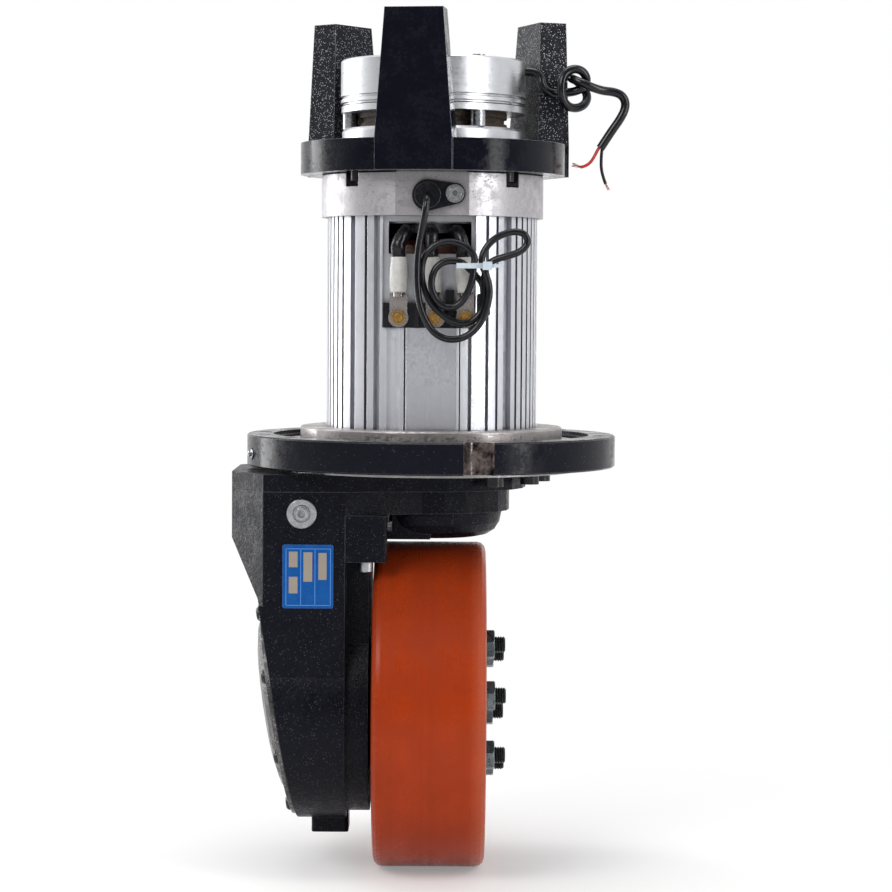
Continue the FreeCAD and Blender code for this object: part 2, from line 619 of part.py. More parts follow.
def terminals():
    board = box((POCKET_LEFT + 0.5, BOARD_FRONT_Y, POCKET_BOTTOM_Z + 0.5),
                (POCKET_RIGHT - 0.5, POCKET_FLOOR_Y, POCKET_BOTTOM_Z + 17))
    rib = box((9.6, BOARD_FRONT_Y - 6, POCKET_BOTTOM_Z + 12), (15.5, POCKET_FLOOR_Y, POCKET_BOTTOM_Z + 26))
    fence = box((-1.2, BOARD_FRONT_Y - 4, POCKET_BOTTOM_Z + 0.5), (1.2, BOARD_FRONT_Y, POCKET_BOTTOM_Z + 17))
    fences = [fence.translated(V(x, 0, 0)) for x in FENCE_XS]
    hole = front_bar(M5_RADIUS + SCREW_GAP, BOARD_FRONT_Y - 10, POCKET_FLOOR_Y - 1, 0, TERMINAL_Z)
    holes = [hole.translated(V(x, 0, 0)) for x in TERMINAL_XS]
    save("terminal_board", board.fuse([rib] + fences).cut(holes).removeSplitter())

    lug_back = BOARD_FRONT_Y - SEAT_GAP
    studs = []
    lugs = []
    sleeves = []
    for x, tilt in zip(TERMINAL_XS, TERMINAL_TILTS):
        nut = hexagon(9.0, 0, 4.5).fuse(bar(M5_RADIUS, 4.5, 7.5)).fuse(bar(M5_RADIUS, -7.5, 0))
        stud = placed(nut.removeSplitter(), (x, lug_back - LUG_THICKNESS, TERMINAL_Z), FORWARD)
        studs.append(stud)
        eye = front_bar(6.8, lug_back - LUG_THICKNESS, lug_back, x, TERMINAL_Z)
        tongue = box((x - 6.0, lug_back - LUG_THICKNESS, TERMINAL_Z), (x + 6.0, lug_back, TERMINAL_Z + 16))
        barrel = bar(3.6, TERMINAL_Z + 14, TERMINAL_Z + 38, x, lug_back - 3.2)
        lug = eye.fuse([tongue, barrel]).cut(front_bar(M5_RADIUS + SCREW_GAP, -90, -60, x, TERMINAL_Z))
        wrap = sleeve(6.2, 3.7, TERMINAL_Z + 17, TERMINAL_Z + 41, x, lug_back - 3.2)
        for piece, group in ((lug, lugs), (wrap, sleeves)):
            piece = piece.copy()
            piece.rotate(V(x, 0, TERMINAL_Z), V(0, -1, 0), tilt)
            group.append(piece)
    save("terminal_studs", studs)
    save("cable_lugs", [lug.removeSplitter() for lug in lugs])
    save("lead_sleeves", sleeves)

    leads = []
    depth = lug_back - 3.2
    for x, tilt in zip(TERMINAL_XS, TERMINAL_TILTS):
        lean = math.radians(tilt)
        end = V(x - math.sin(lean) * 41.2, depth, TERMINAL_Z + math.cos(lean) * 41.2)
        ahead = V(-math.sin(lean), 0, math.cos(lean))
        route = [
            end, end + ahead * 8 + V(0, -0.6, 0), V(end.x * 0.85, depth + 3.5, FRAME_TOP_Z - 12.5),
            V(end.x * 0.78, POCKET_FLOOR_Y + 3.5, FRAME_TOP_Z - 10.4),
            V(end.x * 0.75, POCKET_FLOOR_Y + 11.0, FRAME_TOP_Z - 10.6),
        ]
        leads.append(tube(route, LEAD_RADIUS).cut(sleeves[len(leads)]))
    save("motor_leads", leads)


def sensor(facet_y):
    plate_y = facet_y - SENSOR_PLATE
    big = front_bar(10.6, plate_y, facet_y, SENSOR_X, SENSOR_Z)
    small = front_bar(7.2, plate_y, facet_y, SENSOR_SCREW_X, SENSOR_SCREW_Z)
    reach = SENSOR_SCREW_X - SENSOR_X
    rise = SENSOR_SCREW_Z - SENSOR_Z
    lean = math.atan2(rise, reach)
    side = math.acos((10.6 - 7.2) / math.hypot(reach, rise))
    corners = []
    for radius, x, z, sign in ((10.6, SENSOR_X, SENSOR_Z, 1), (7.2, SENSOR_SCREW_X, SENSOR_SCREW_Z, 1),
                               (7.2, SENSOR_SCREW_X, SENSOR_SCREW_Z, -1), (10.6, SENSOR_X, SENSOR_Z, -1)):
        angle = lean + sign * side
        corners.append(V(x + radius * math.cos(angle), facet_y, z + radius * math.sin(angle)))
    web = polygon_face(corners).extrude(V(0, -SENSOR_PLATE, 0))
    boss = front_bar(8.8, plate_y - 5.5, plate_y, SENSOR_X, SENSOR_Z)
    probe = front_bar(7.0, facet_y, -SENSOR_WHEEL_RADIUS - 1.2, SENSOR_X, SENSOR_Z)
    housing = big.fuse([small, web, boss, probe])
    hole = front_bar(M5_RADIUS + SCREW_GAP, plate_y - 9, facet_y + 1, SENSOR_SCREW_X, SENSOR_SCREW_Z)
    save("sensor_housing", housing.cut(hole).removeSplitter())
    screw = socket_screw(M5_RADIUS, 4.4, 5.0, 9.0, 4.0)
    washer = sleeve(6.2, M5_RADIUS + SCREW_GAP, -1.4, -SEAT_GAP / 2)
    centre = (SENSOR_SCREW_X, plate_y - 1.4 - SEAT_GAP / 2, SENSOR_SCREW_Z)
    save("sensor_screw", [placed(screw, centre, FORWARD), placed(washer, centre, FORWARD)])
    return plate_y - 5.5


# Speed sensor's cable: its free stretch, its tied coil and the loop that sticks out of the tie
SENSOR_CABLE_RADIUS = 2.35
COIL_CENTRE = (15.0, -91.2, 100.4)
COIL_HALF_WIDTH = 26.5
COIL_HALF_HEIGHT = 35.0
COIL_BAND = 14.0
COIL_THICKNESS = 10.4
TIE_X = 28.5
TIE_Z = 117.6
PLUG_X = 30.8
PLUG_Z = 84.0


def ellipse_prism(centre, half_width, half_height, thickness, lean=0.0):
    """Oval block that faces the front, centred on a point, its right end raised by an angle."""
    if half_width >= half_height:
        oval = Part.Ellipse(V(0, 0, 0), half_width, half_height)
        turn = 0.0
    else:
        oval = Part.Ellipse(V(0, 0, 0), half_height, half_width)
        turn = 90.0
    solid = Part.Face(Part.Wire([oval.toShape()])).extrude(V(0, 0, thickness))
    solid.rotate(V(0, 0, 0), UP, turn)
    solid.rotate(V(0, 0, 0), ALONG, 90)
    solid.rotate(V(0, 0, 0), FORWARD, lean)
    solid.translate(V(centre[0], centre[1] + thickness / 2, centre[2]))
    return solid


def sensor_cable(exit_y):
    x, y, z = COIL_CENTRE
    route = [
        V(SENSOR_X, exit_y, SENSOR_Z), V(SENSOR_X, exit_y - 5.0, SENSOR_Z),
        V(SENSOR_X - 0.3, exit_y - 9.5, SENSOR_Z - 2.6), V(SENSOR_X - 0.8, exit_y - 12.0, SENSOR_Z - 7.2),
        V(SENSOR_X - 1.7, exit_y - 12.0, SENSOR_Z - 13.6), V(SENSOR_X - 3.6, exit_y - 11.0, SENSOR_Z - 24.0),
        V(SENSOR_X - 5.9, exit_y - 10.0, SENSOR_Z - 36.6), V(SENSOR_X - 6.9, exit_y - 9.6, SENSOR_Z - 49.0),
        V(-9.6, y - 0.2, 103.0),
    ]
    coil = ellipse_prism(COIL_CENTRE, COIL_HALF_WIDTH, COIL_HALF_HEIGHT, COIL_THICKNESS)
    hole_width = COIL_HALF_WIDTH - COIL_BAND
    hole_height = COIL_HALF_HEIGHT - COIL_BAND
    coil = coil.cut(ellipse_prism(COIL_CENTRE, hole_width, hole_height, COIL_THICKNESS + 2))
    loop_centre = (50.0, y - 0.6, 130.4)
    loop = ellipse_prism(loop_centre, 18.5, 10.2, 2 * SENSOR_CABLE_RADIUS, 21.0)
    eye = ellipse_prism(loop_centre, 18.5 - 4.7, 10.2 - 4.7, 4 * SENSOR_CABLE_RADIUS, 21.0)
    save("sensor_cable", tube(route, SENSOR_CABLE_RADIUS).cut(coil))
    plug_back = y + COIL_THICKNESS / 2
    plug = box((PLUG_X, plug_back, PLUG_Z), (PLUG_X + 9.0, plug_back + 9.0, PLUG_Z + 15.0))
    save("sensor_connector", plug.makeChamfer(1.0, plug.Edges))
    half = COIL_THICKNESS / 2 + 0.2
    left, right = TIE_X - 10.4, TIE_X + 10.4
    band = box((left - 1.3, y - half - 1.3, TIE_Z - 1.8), (right + 1.3, y + half + 1.3, TIE_Z + 1.8))
    band = band.cut(box((left, y - half, TIE_Z - 3), (right, y + half, TIE_Z + 3)))
    head = box((right - 4.5, y - half - 5.0, TIE_Z - 2.8), (right + 1.8, y - half - 1.3, TIE_Z + 2.8))
    tail = box((right + 1.8, y - half - 3.6, TIE_Z - 1.2), (right + 9.0, y - half - 2.4, TIE_Z + 1.2))
    tie = band.fuse([head, tail]).removeSplitter()
    save("cable_tie", tie)
    save("sensor_cable_coil", [coil, loop.cut([eye, coil, tie])])


def bracket():
    ring = bar(BRACKET_RADIUS, SHIELD_TOP_Z, BRACKET_TOP_Z)
    arms = []
    for angle in ARM_ANGLES:
        base = ARM_BASE_WIDTH / 2
        top = ARM_TOP_WIDTH / 2
        face = -ARM_FACE_RADIUS
        block = box((-base, face, SHIELD_TOP_Z), (base, face + ARM_BASE_DEPTH, BRACKET_TOP_Z))
        back = face + ARM_BASE_DEPTH
        low = Part.makePolygon([V(-base, face, BRACKET_TOP_Z), V(base, face, BRACKET_TOP_Z),
                                V(base, back, BRACKET_TOP_Z), V(-base, back, BRACKET_TOP_Z),
                                V(-base, face, BRACKET_TOP_Z)])
        back = face + ARM_TOP_DEPTH
        high = Part.makePolygon([V(-top, face, ARM_TOP_Z), V(top, face, ARM_TOP_Z), V(top, back, ARM_TOP_Z),
                                 V(-top, back, ARM_TOP_Z), V(-top, face, ARM_TOP_Z)])
        arm = Part.makeLoft([low, high], True, True)
        hole = bar(ARM_HOLE_RADIUS, ARM_TOP_Z - ARM_HOLE_DEPTH, ARM_TOP_Z + 1, 0, face + ARM_TOP_DEPTH / 2)
        arms.append(at_angle(block.fuse(arm).removeSplitter().cut(hole), angle))
    shape = ring.fuse(arms)
    screw_hole = bar(M6_RADIUS + SCREW_GAP, SHIELD_TOP_Z - 1, SHIELD_TOP_Z + 17, 0, -BRACKET_SCREW_RADIUS)
    bore = bar(BRACKET_BORE_RADIUS, SHIELD_TOP_Z - 1, BRACKET_TOP_Z + 1)
    base_hole = bar(M6_RADIUS + SCREW_GAP, BRACKET_TOP_Z - 9, BRACKET_TOP_Z + 1, 0, -BRAKE_SCREW_CIRCLE / 2)
    shape = shape.cut([bore] + around(screw_hole, even(4, 45.0)) + around(base_hole, BRAKE_SCREW_ANGLES))
    save("top_bracket", shape.removeSplitter())


def brake():
    low = BRACKET_TOP_Z
    screw_y = -BRAKE_SCREW_CIRCLE / 2
    base = turned([(20, low), (BRAKE_BASE_RADIUS, low), (BRAKE_BASE_RADIUS, BRAKE_BASE_TOP_Z - 2),
                   (BRAKE_BASE_RADIUS - 1.5, BRAKE_BASE_TOP_Z), (20, BRAKE_BASE_TOP_Z)])
    hole = bar(M6_RADIUS + SCREW_GAP, low - 1, BRAKE_TOP_Z + 1, 0, screw_y)
    save("brake_base_plate", base.cut(around(hole, BRAKE_SCREW_ANGLES)))
    spacer = sleeve(5.5, M6_RADIUS + SCREW_GAP, BRAKE_BASE_TOP_Z, MAGNET_Z, 0, screw_y)
    disc_low = BRAKE_BASE_TOP_Z + SEAT_GAP
    disc_high = disc_low + BRAKE_DISC_THICKNESS
    hub = hexagon(34.0, disc_low + 0.4, disc_high - 0.4).cut(
        bar(BRAKE_SHAFT_RADIUS + FIT, disc_low - 1, disc_high + 1))
    save("brake_hub", hub)
    disc = bar(BRAKE_DISC_RADIUS, disc_low, disc_high)
    disc = disc.cut(hexagon(34.0 + 2 * FIT, disc_low - 1, disc_high + 1))
    waist = sleeve(BRAKE_DISC_RADIUS + 1, 30, disc_low + 3.4, disc_high - 3.4)
    lining = disc.cut(waist).fuse(sleeve(BRAKE_DISC_RADIUS - 2, 25, disc_low + 3.3, disc_high - 3.3))
    save("brake_disc", lining.removeSplitter())
    armature = sleeve(BRAKE_RADIUS - 0.5, 20.0, ARMATURE_Z, ARMATURE_Z + ARMATURE_THICKNESS)
    slot = bar(6.2, ARMATURE_Z - 1, MAGNET_Z, 0, screw_y)
    save("brake_armature", armature.cut(around(slot, BRAKE_SCREW_ANGLES)))
    top = BRAKE_TOP_Z
    magnet = turned([
        (16, MAGNET_Z), (BRAKE_RADIUS - 1.6, MAGNET_Z), (BRAKE_RADIUS - 1.6, MAGNET_Z + 1.2),
        (BRAKE_RADIUS, MAGNET_Z + 1.6), (BRAKE_RADIUS, MAGNET_Z + 4.0), (BRAKE_RADIUS - 1.4, MAGNET_Z + 4.4),
        (BRAKE_RADIUS - 1.4, MAGNET_Z + 5.8), (BRAKE_RADIUS, MAGNET_Z + 6.2), (BRAKE_RADIUS, top - 1.2),
        (BRAKE_RADIUS - 1.2, top), (16, top),
    ])
    coil_outer = BRAKE_DISC_RADIUS - 2
    coil_inner = 31.0
    pocket = sleeve(coil_outer, coil_inner, MAGNET_Z - 1, MAGNET_Z + 20)
    spring_hole = bar(3.8, MAGNET_Z - 1, MAGNET_Z + 18, 0, -24.0)
    counterbore = bar(5.3, top - 5, top + 1, 0, screw_y)
    cable_hole = Part.makeCylinder(3.3, 16, BRAKE_CABLE_START - V(13.6, 0, 0), ALONG)
    screw_cuts = around(hole, BRAKE_SCREW_ANGLES) + around(counterbore, BRAKE_SCREW_ANGLES)
    save("brake_magnet", magnet.cut([pocket, cable_hole] + around(spring_hole, even(6)) + screw_cuts))
    coil = sleeve(coil_outer - SEAT_GAP, coil_inner + SEAT_GAP, MAGNET_Z + 0.5, MAGNET_Z + 19.5)
    save("brake_coil", coil)
    spring = sleeve(3.4, 2.2, ARMATURE_Z + ARMATURE_THICKNESS + BRAKE_AIR_GAP, MAGNET_Z + 17.5, 0, -24.0)
    save("brake_springs", around(spring, even(6)))
    screw = socket_screw(M6_RADIUS, 5.0, 6.0, top - 5 - low + 7, 5.0)
    screw = placed(screw, (0, screw_y, top - 5))
    save("brake_screws", around(screw, BRAKE_SCREW_ANGLES) + around(spacer, BRAKE_SCREW_ANGLES))


# Brake's cable: jacket with an overhand knot, and two bared wires
BRAKE_CABLE_RADIUS = 3.1
BRAKE_CABLE_START = V(BRAKE_RADIUS - 0.4, -7.0, 255.0)
KNOT_START = V(89.7, -5.5, 240.25)
KNOT_END = V(115.5, -14.1, 242.3)
WIRE_RADIUS = 1.1
JACKET_END = V(117.4, -11.0, 201.5)


def brake_cable():
    lead_in = [
        BRAKE_CABLE_START, V(69.6, -7.1, 255.0), V(73.2, -7.6, 253.4), V(75.5, -8.4, 250.2),
        V(76.0, -9.2, 246.2), V(77.8, -9.4, 242.6), V(81.2, -8.6, 240.2), V(86.4, -6.4, 239.9), KNOT_START,
    ]
    knot = [
        KNOT_START, V(93.0, -4.6, 240.6), V(99.6, -4.8, 241.4), V(105.4, -6.6, 244.0),
        V(108.0, -9.4, 249.4), V(105.0, -11.8, 255.0), V(98.6, -13.6, 257.0), V(92.4, -15.4, 254.0),
        V(89.8, -17.0, 248.0), V(89.4, -17.4, 241.0), V(90.6, -16.2, 234.4), V(95.0, -13.0, 229.8),
        V(101.2, -8.4, 229.4), V(106.6, -3.4, 232.4), V(108.8, 0.6, 238.0), V(106.6, 2.6, 244.0),
        V(101.6, 1.6, 248.8), V(97.4, -3.6, 251.0), V(96.4, -9.8, 250.4), V(99.6, -15.2, 248.4),
        V(105.6, -17.2, 245.8), V(112.0, -15.6, 243.2), KNOT_END,
    ]
    tail = [
        KNOT_END, V(119.0, -12.6, 241.4), V(126.0, -10.8, 241.0), V(131.8, -10.3, 239.0),
        V(134.8, -10.3, 234.4), V(134.4, -10.4, 228.4), V(130.6, -10.7, 221.2), V(125.0, -11.0, 213.4),
        JACKET_END,
    ]
    jackets = [tube(route, BRAKE_CABLE_RADIUS) for route in (lead_in, tail)]
    save("brake_cable", jackets)
    save("brake_cable_knot", tube(knot, BRAKE_CABLE_RADIUS))
    red = [
        JACKET_END + V(-1.1, -0.4, 0.6), V(113.2, -11.4, 195.6), V(110.2, -11.7, 191.0),
        V(105.9, -12.0, 188.5), V(101.2, -12.2, 188.3), V(97.0, -12.2, 190.4),
    ]
    black_start = JACKET_END + V(1.2, 0.4, 0.2)
    black = [black_start, black_start + V(-0.6, 0, -8), V(118.2, -10.6, 186.6), V(120.2, -10.6, 179.4)]
    save("red_wire", tube(red, WIRE_RADIUS).cut(jackets[1]))
    save("black_wire", tube(black, WIRE_RADIUS).cut(jackets[1]))


def deck_outline(radius):
    """Outline of the gearbox's horizontal part: the block at the left and a round right end."""
    depth = HOUSING_DEPTH
    left = HOUSING_LEFT_X
    points = [(left, -40.0), (left + 24, -depth), (LEG_RIGHT_X, -depth)]
    start = math.radians(-96)
    for index in range(13):
        angle = start + index * (-2 * start) / 12
        points.append((radius * math.cos(angle), radius * math.sin(angle)))
    return points + [(LEG_RIGHT_X, depth), (left + 24, depth), (left, 40.0)]


def gear_room(low, high):
    """Room for the first gear stage, round both of its wheels."""
    wheel_room = SPUR_MODULE * WHEEL_TEETH / 2 + SPUR_MODULE + 3
    pinion_room = 22.0
    lean = math.acos((wheel_room - pinion_room) / CENTRE_DISTANCE)
    corners = [(PINION_X + wheel_room * math.cos(lean), -wheel_room * math.sin(lean)),
               (pinion_room * math.cos(lean), -pinion_room * math.sin(lean)),
               (pinion_room * math.cos(lean), pinion_room * math.sin(lean)),
               (PINION_X + wheel_room * math.cos(lean), wheel_room * math.sin(lean))]
    return bar(wheel_room, low, high, PINION_X).fuse([bar(pinion_room, low, high), plate(corners, low, high)])


def gearbox():
    top = INNER_BOTTOM_Z
    outline = deck_outline(LID_RIGHT_RADIUS)
    lid = plate(outline, LID_BOTTOM_Z, top)
    screw_places = [(x, side * y) for x, y in LID_SCREW_PLACES for side in (-1, 1)]
    holes = [bar(M6_RADIUS + SCREW_GAP, LID_BOTTOM_Z - 1, top - 2, x, y) for x, y in screw_places]
    shaft_room = bar(PINION_SHAFT_RADIUS + 3, LID_BOTTOM_Z - 1, SPUR_HIGH_Z + 5, PINION_X)
    lid = lid.cut(holes + [bar(LID_BORE_RADIUS, LID_BOTTOM_Z - 1, top + 1), shaft_room])
    save("gearbox_lid", lid)

    # Leg: its side outline cut from its front outline
    side = box((HOUSING_LEFT_X, -HOUSING_DEPTH, AXLE_Z), (LEG_RIGHT_X, HOUSING_DEPTH, LID_BOTTOM_Z))
    side = side.fuse(level_bar(DRUM_RADIUS, HOUSING_LEFT_X, LEG_RIGHT_X))
    lean = math.tan(math.radians(COVER_TILT))
    seat_top = COVER_SEAT_X - DRUM_RADIUS * lean
    seat_low = COVER_SEAT_X + (DRUM_RADIUS + 3) * lean
    seat_top_z = AXLE_Z + DRUM_RADIUS
    front = [
        (LEG_RIGHT_X, LID_BOTTOM_Z), (HOUSING_LEFT_X, LID_BOTTOM_Z), (HOUSING_LEFT_X, -71.0),
        (seat_top, seat_top_z), (seat_low, AXLE_Z - DRUM_RADIUS - 3),
        (LEG_RIGHT_X, AXLE_Z - DRUM_RADIUS - 3),
    ]
    front_face = polygon_face([V(x, -HOUSING_DEPTH - 20, z) for x, z in front])
    leg = side.common(front_face.extrude(V(0, 2 * HOUSING_DEPTH + 40, 0)))
    for sign in (-1, 1):
        corner = [(HOUSING_LEFT_X - 1, sign * 38.6), (HOUSING_LEFT_X + 24.6, sign * (HOUSING_DEPTH + 1)),
                  (HOUSING_LEFT_X - 1, sign * (HOUSING_DEPTH + 1))]
        leg = leg.cut(plate(corner, seat_top_z - 4, LID_BOTTOM_Z + 1))

    deck = plate(deck_outline(DECK_RIGHT_RADIUS), DECK_BOTTOM_Z, LID_BOTTOM_Z)
    bowl = turned([
        (0, BOWL_BOTTOM_Z), (BOWL_RADIUS - BOWL_ROUND, BOWL_BOTTOM_Z),
        (BOWL_RADIUS - BOWL_ROUND * 0.62, BOWL_BOTTOM_Z + BOWL_ROUND * 0.08),
        (BOWL_RADIUS - BOWL_ROUND * 0.29, BOWL_BOTTOM_Z + BOWL_ROUND * 0.29),
        (BOWL_RADIUS - BOWL_ROUND * 0.08, BOWL_BOTTOM_Z + BOWL_ROUND * 0.62),
        (BOWL_RADIUS, BOWL_BOTTOM_Z + BOWL_ROUND), (BOWL_RADIUS, DECK_BOTTOM_Z), (0, DECK_BOTTOM_Z),
    ])
    bridge = box((LEG_RIGHT_X - 2, -BOWL_RADIUS + 6, BOWL_BOTTOM_Z), (0, BOWL_RADIUS - 6, DECK_BOTTOM_Z))
    inner_drum = level_bar(INNER_DRUM_RADIUS, LEG_RIGHT_X - 2, DRUM_RIGHT_X)
    web = box((LEG_RIGHT_X - 2, -58, AXLE_Z), (DRUM_RIGHT_X, 58, DECK_BOTTOM_Z))
    nose = level_bar(NOSE_RADIUS, DRUM_RIGHT_X - 2, NOSE_RIGHT_X)
    boss = rounded_block((LEG_RIGHT_X - 2, 1 - HOUSING_DEPTH, BOSS_BOTTOM_Z),
                         (BOSS_RIGHT_X, BOSS_DEPTH - HOUSING_DEPTH, DECK_BOTTOM_Z), 2.5)
    foot = rounded_block((FOOT_LEFT_X, -FOOT_HALF_DEPTH, FOOT_Z),
                         (FOOT_RIGHT_X, FOOT_HALF_DEPTH, AXLE_Z - DRUM_RADIUS + 6), 3.0)
    housing = leg.fuse([deck, bowl, bridge, inner_drum, web, nose, boss, foot])

    room_left = HOUSING_LEFT_X - 5
    cuts = [
        gear_room(BOWL_BOTTOM_Z + 5.5, LID_BOTTOM_Z + 1),
        level_bar(GEAR_ROOM_RADIUS, room_left, GEAR_ROOM_RIGHT_X),
        level_bar(AXLE_BEARING_RADIUS, GEAR_ROOM_RIGHT_X - 1, GEAR_ROOM_RIGHT_X + AXLE_BEARING_WIDTH),
        level_bar(AXLE_BEARING_RADIUS - 5, GEAR_ROOM_RIGHT_X, NOSE_RIGHT_X + 1),
        level_bar(AXLE_BEARING_RADIUS, NOSE_RIGHT_X - AXLE_BEARING_WIDTH - 6, NOSE_RIGHT_X + 1),
        bar(PINION_BEARING_RADIUS - 4, AXLE_Z + GEAR_ROOM_RADIUS - 10, -60.0, PINION_X),
        bar(PINION_BEARING_RADIUS, PINION_BEARING_ZS[0], -60.0, PINION_X),
        bar(PINION_BEARING_RADIUS, AXLE_Z + GEAR_ROOM_RADIUS - 10,
            PINION_BEARING_ZS[1] + PINION_BEARING_WIDTH, PINION_X),
        front_bar(5.0, -HOUSING_DEPTH - 1, -HOUSING_DEPTH + 12, OIL_PLUG_X, OIL_PLUG_Z),
        bar(5.0 + SCREW_GAP, -86.0, -66.0, BOSS_PIN_X, BOSS_PIN_Y),
    ]
    cuts += [bar(M6_RADIUS + SCREW_GAP, LID_BOTTOM_Z - 14, LID_BOTTOM_Z + 1, x, y) for x, y in screw_places]
    cover_hole = bar(M6_RADIUS + SCREW_GAP, -14, 1, 0, -COVER_SCREW_CIRCLE / 2)
    cuts += [tilted(at_angle(cover_hole, angle)) for angle in even(COVER_SCREW_COUNT, 22.5)]
    save("gearbox_housing", housing.cut(cuts))
    return [bar(M6_RADIUS, LID_BOTTOM_Z - 13, top - 2.2, x, y) for x, y in screw_places]


# Oil plug, pin under the boss and blank rating plate, on the front of the housing
OIL_PLUG_X = -87.6
OIL_PLUG_Z = -51.6
BOSS_PIN_X = -44.0
BOSS_PIN_Y = -66.0
PLATE_LEFT = -100.6
PLATE_TOP_Z = -72.8
PLATE_WIDTH = 34.7
PLATE_HEIGHT = 43.6


def housing_trim():
    plug = turned([
        (0, -10), (5 - FIT, -10), (5 - FIT, 0), (10.2, 0), (10.2, 1.8), (9.6, 2.4), (6.2, 2.4),
        (5.4, 1.8), (4.2, 1.8), (4.2, 3.4), (0, 3.4),
    ])
    plug = plug.cut(hexagon(5.0, 1.0, 4.0))
    save("oil_plug", placed(plug, (OIL_PLUG_X, -HOUSING_DEPTH, OIL_PLUG_Z), FORWARD))
    pin = turned([(0, -92.5), (4.2, -92.5), (5.0, -91.7), (5.0, -67.0), (0, -67.0)])
    save("boss_pin", placed(pin, (BOSS_PIN_X, BOSS_PIN_Y, 0)))
    low = V(PLATE_LEFT, -HOUSING_DEPTH - 0.8, PLATE_TOP_Z - PLATE_HEIGHT)
    name_plate = Part.makeBox(PLATE_WIDTH, 0.8, PLATE_HEIGHT, low)
    upright = [edge for edge in name_plate.Edges if abs(edge.tangentAt(edge.FirstParameter).y) > 0.9]
    save("name_plate", name_plate.makeFillet(1.5, upright))

    dome = [(0, 9.0), (0, 12.0), (28, 11.4), (46, 9.8), (58, 7.4), (64, 4.2), (66.5, COVER_THICKNESS),
            (COVER_RADIUS, COVER_THICKNESS), (COVER_RADIUS, 0), (63, 0), (56, 4.4), (45, 6.8), (28, 8.4)]
    cover = turned(dome)
    hole = bar(M6_RADIUS + SCREW_GAP, -1, COVER_THICKNESS + 1, 0, -COVER_SCREW_CIRCLE / 2)
    angles = even(COVER_SCREW_COUNT, 22.5)
    save("gearbox_cover", tilted(cover.cut(around(hole, angles))))
    seat = COVER_THICKNESS
    head = turned([
        (0, -12), (M6_RADIUS, -12), (M6_RADIUS, seat), (5.2, seat), (5.0, seat + 1.6),
        (3.8, seat + 2.9), (0, seat + 3.2),
    ])
    head = head.cut(hexagon(4.0, seat + 1.2, seat + 5))
    head.translate(V(0, -COVER_SCREW_CIRCLE / 2, 0))
    save("cover_screws", [tilted(at_angle(head, angle)) for angle in angles])


def pinion_assembly():
    upper, lower = PINION_BEARING_ZS
    gear_end = AXLE_Z + BEVEL_RADIUS
    back = [(PINION_SHAFT_RADIUS + 3, BEVEL_RADIUS + 3), (PINION_SHAFT_RADIUS + 3, lower - 1 - AXLE_Z),
            (PINION_SHAFT_RADIUS, lower - 1 - AXLE_Z), (PINION_SHAFT_RADIUS, SPUR_HIGH_Z + 3 - AXLE_Z),
            (0, SPUR_HIGH_Z + 3 - AXLE_Z)]
    bore = [(0, gear_end - AXLE_Z - BEVEL_FACE)]
    pinion = bevel_gear(BEVEL_PINION_TEETH, BEVEL_GEAR_TEETH, BEVEL_MODULE, 0.9 * BEVEL_MODULE, back, bore)
    pinion.rotate(V(0, 0, 0), UP, 180)
    pinion.translate(V(PINION_X, 0, AXLE_Z))
    save("pinion_shaft", pinion)

    wheel = plate(gear_outline(WHEEL_TEETH, TOOTH_THINNING, 0.0), SPUR_LOW_Z, SPUR_HIGH_Z)
    rim = SPUR_MODULE * WHEEL_TEETH / 2 - 8
    hub = PINION_SHAFT_RADIUS + 12
    wheel = wheel.cut([
        bar(PINION_SHAFT_RADIUS + FIT, SPUR_LOW_Z - 1, SPUR_HIGH_Z + 1),
        sleeve(rim, hub, SPUR_LOW_Z - 1, SPUR_LOW_Z + 6),
        sleeve(rim, hub, SPUR_HIGH_Z - 6, SPUR_HIGH_Z + 1),
    ])
    wheel.translate(V(PINION_X, 0, 0))
    save("first_stage_gear", wheel)


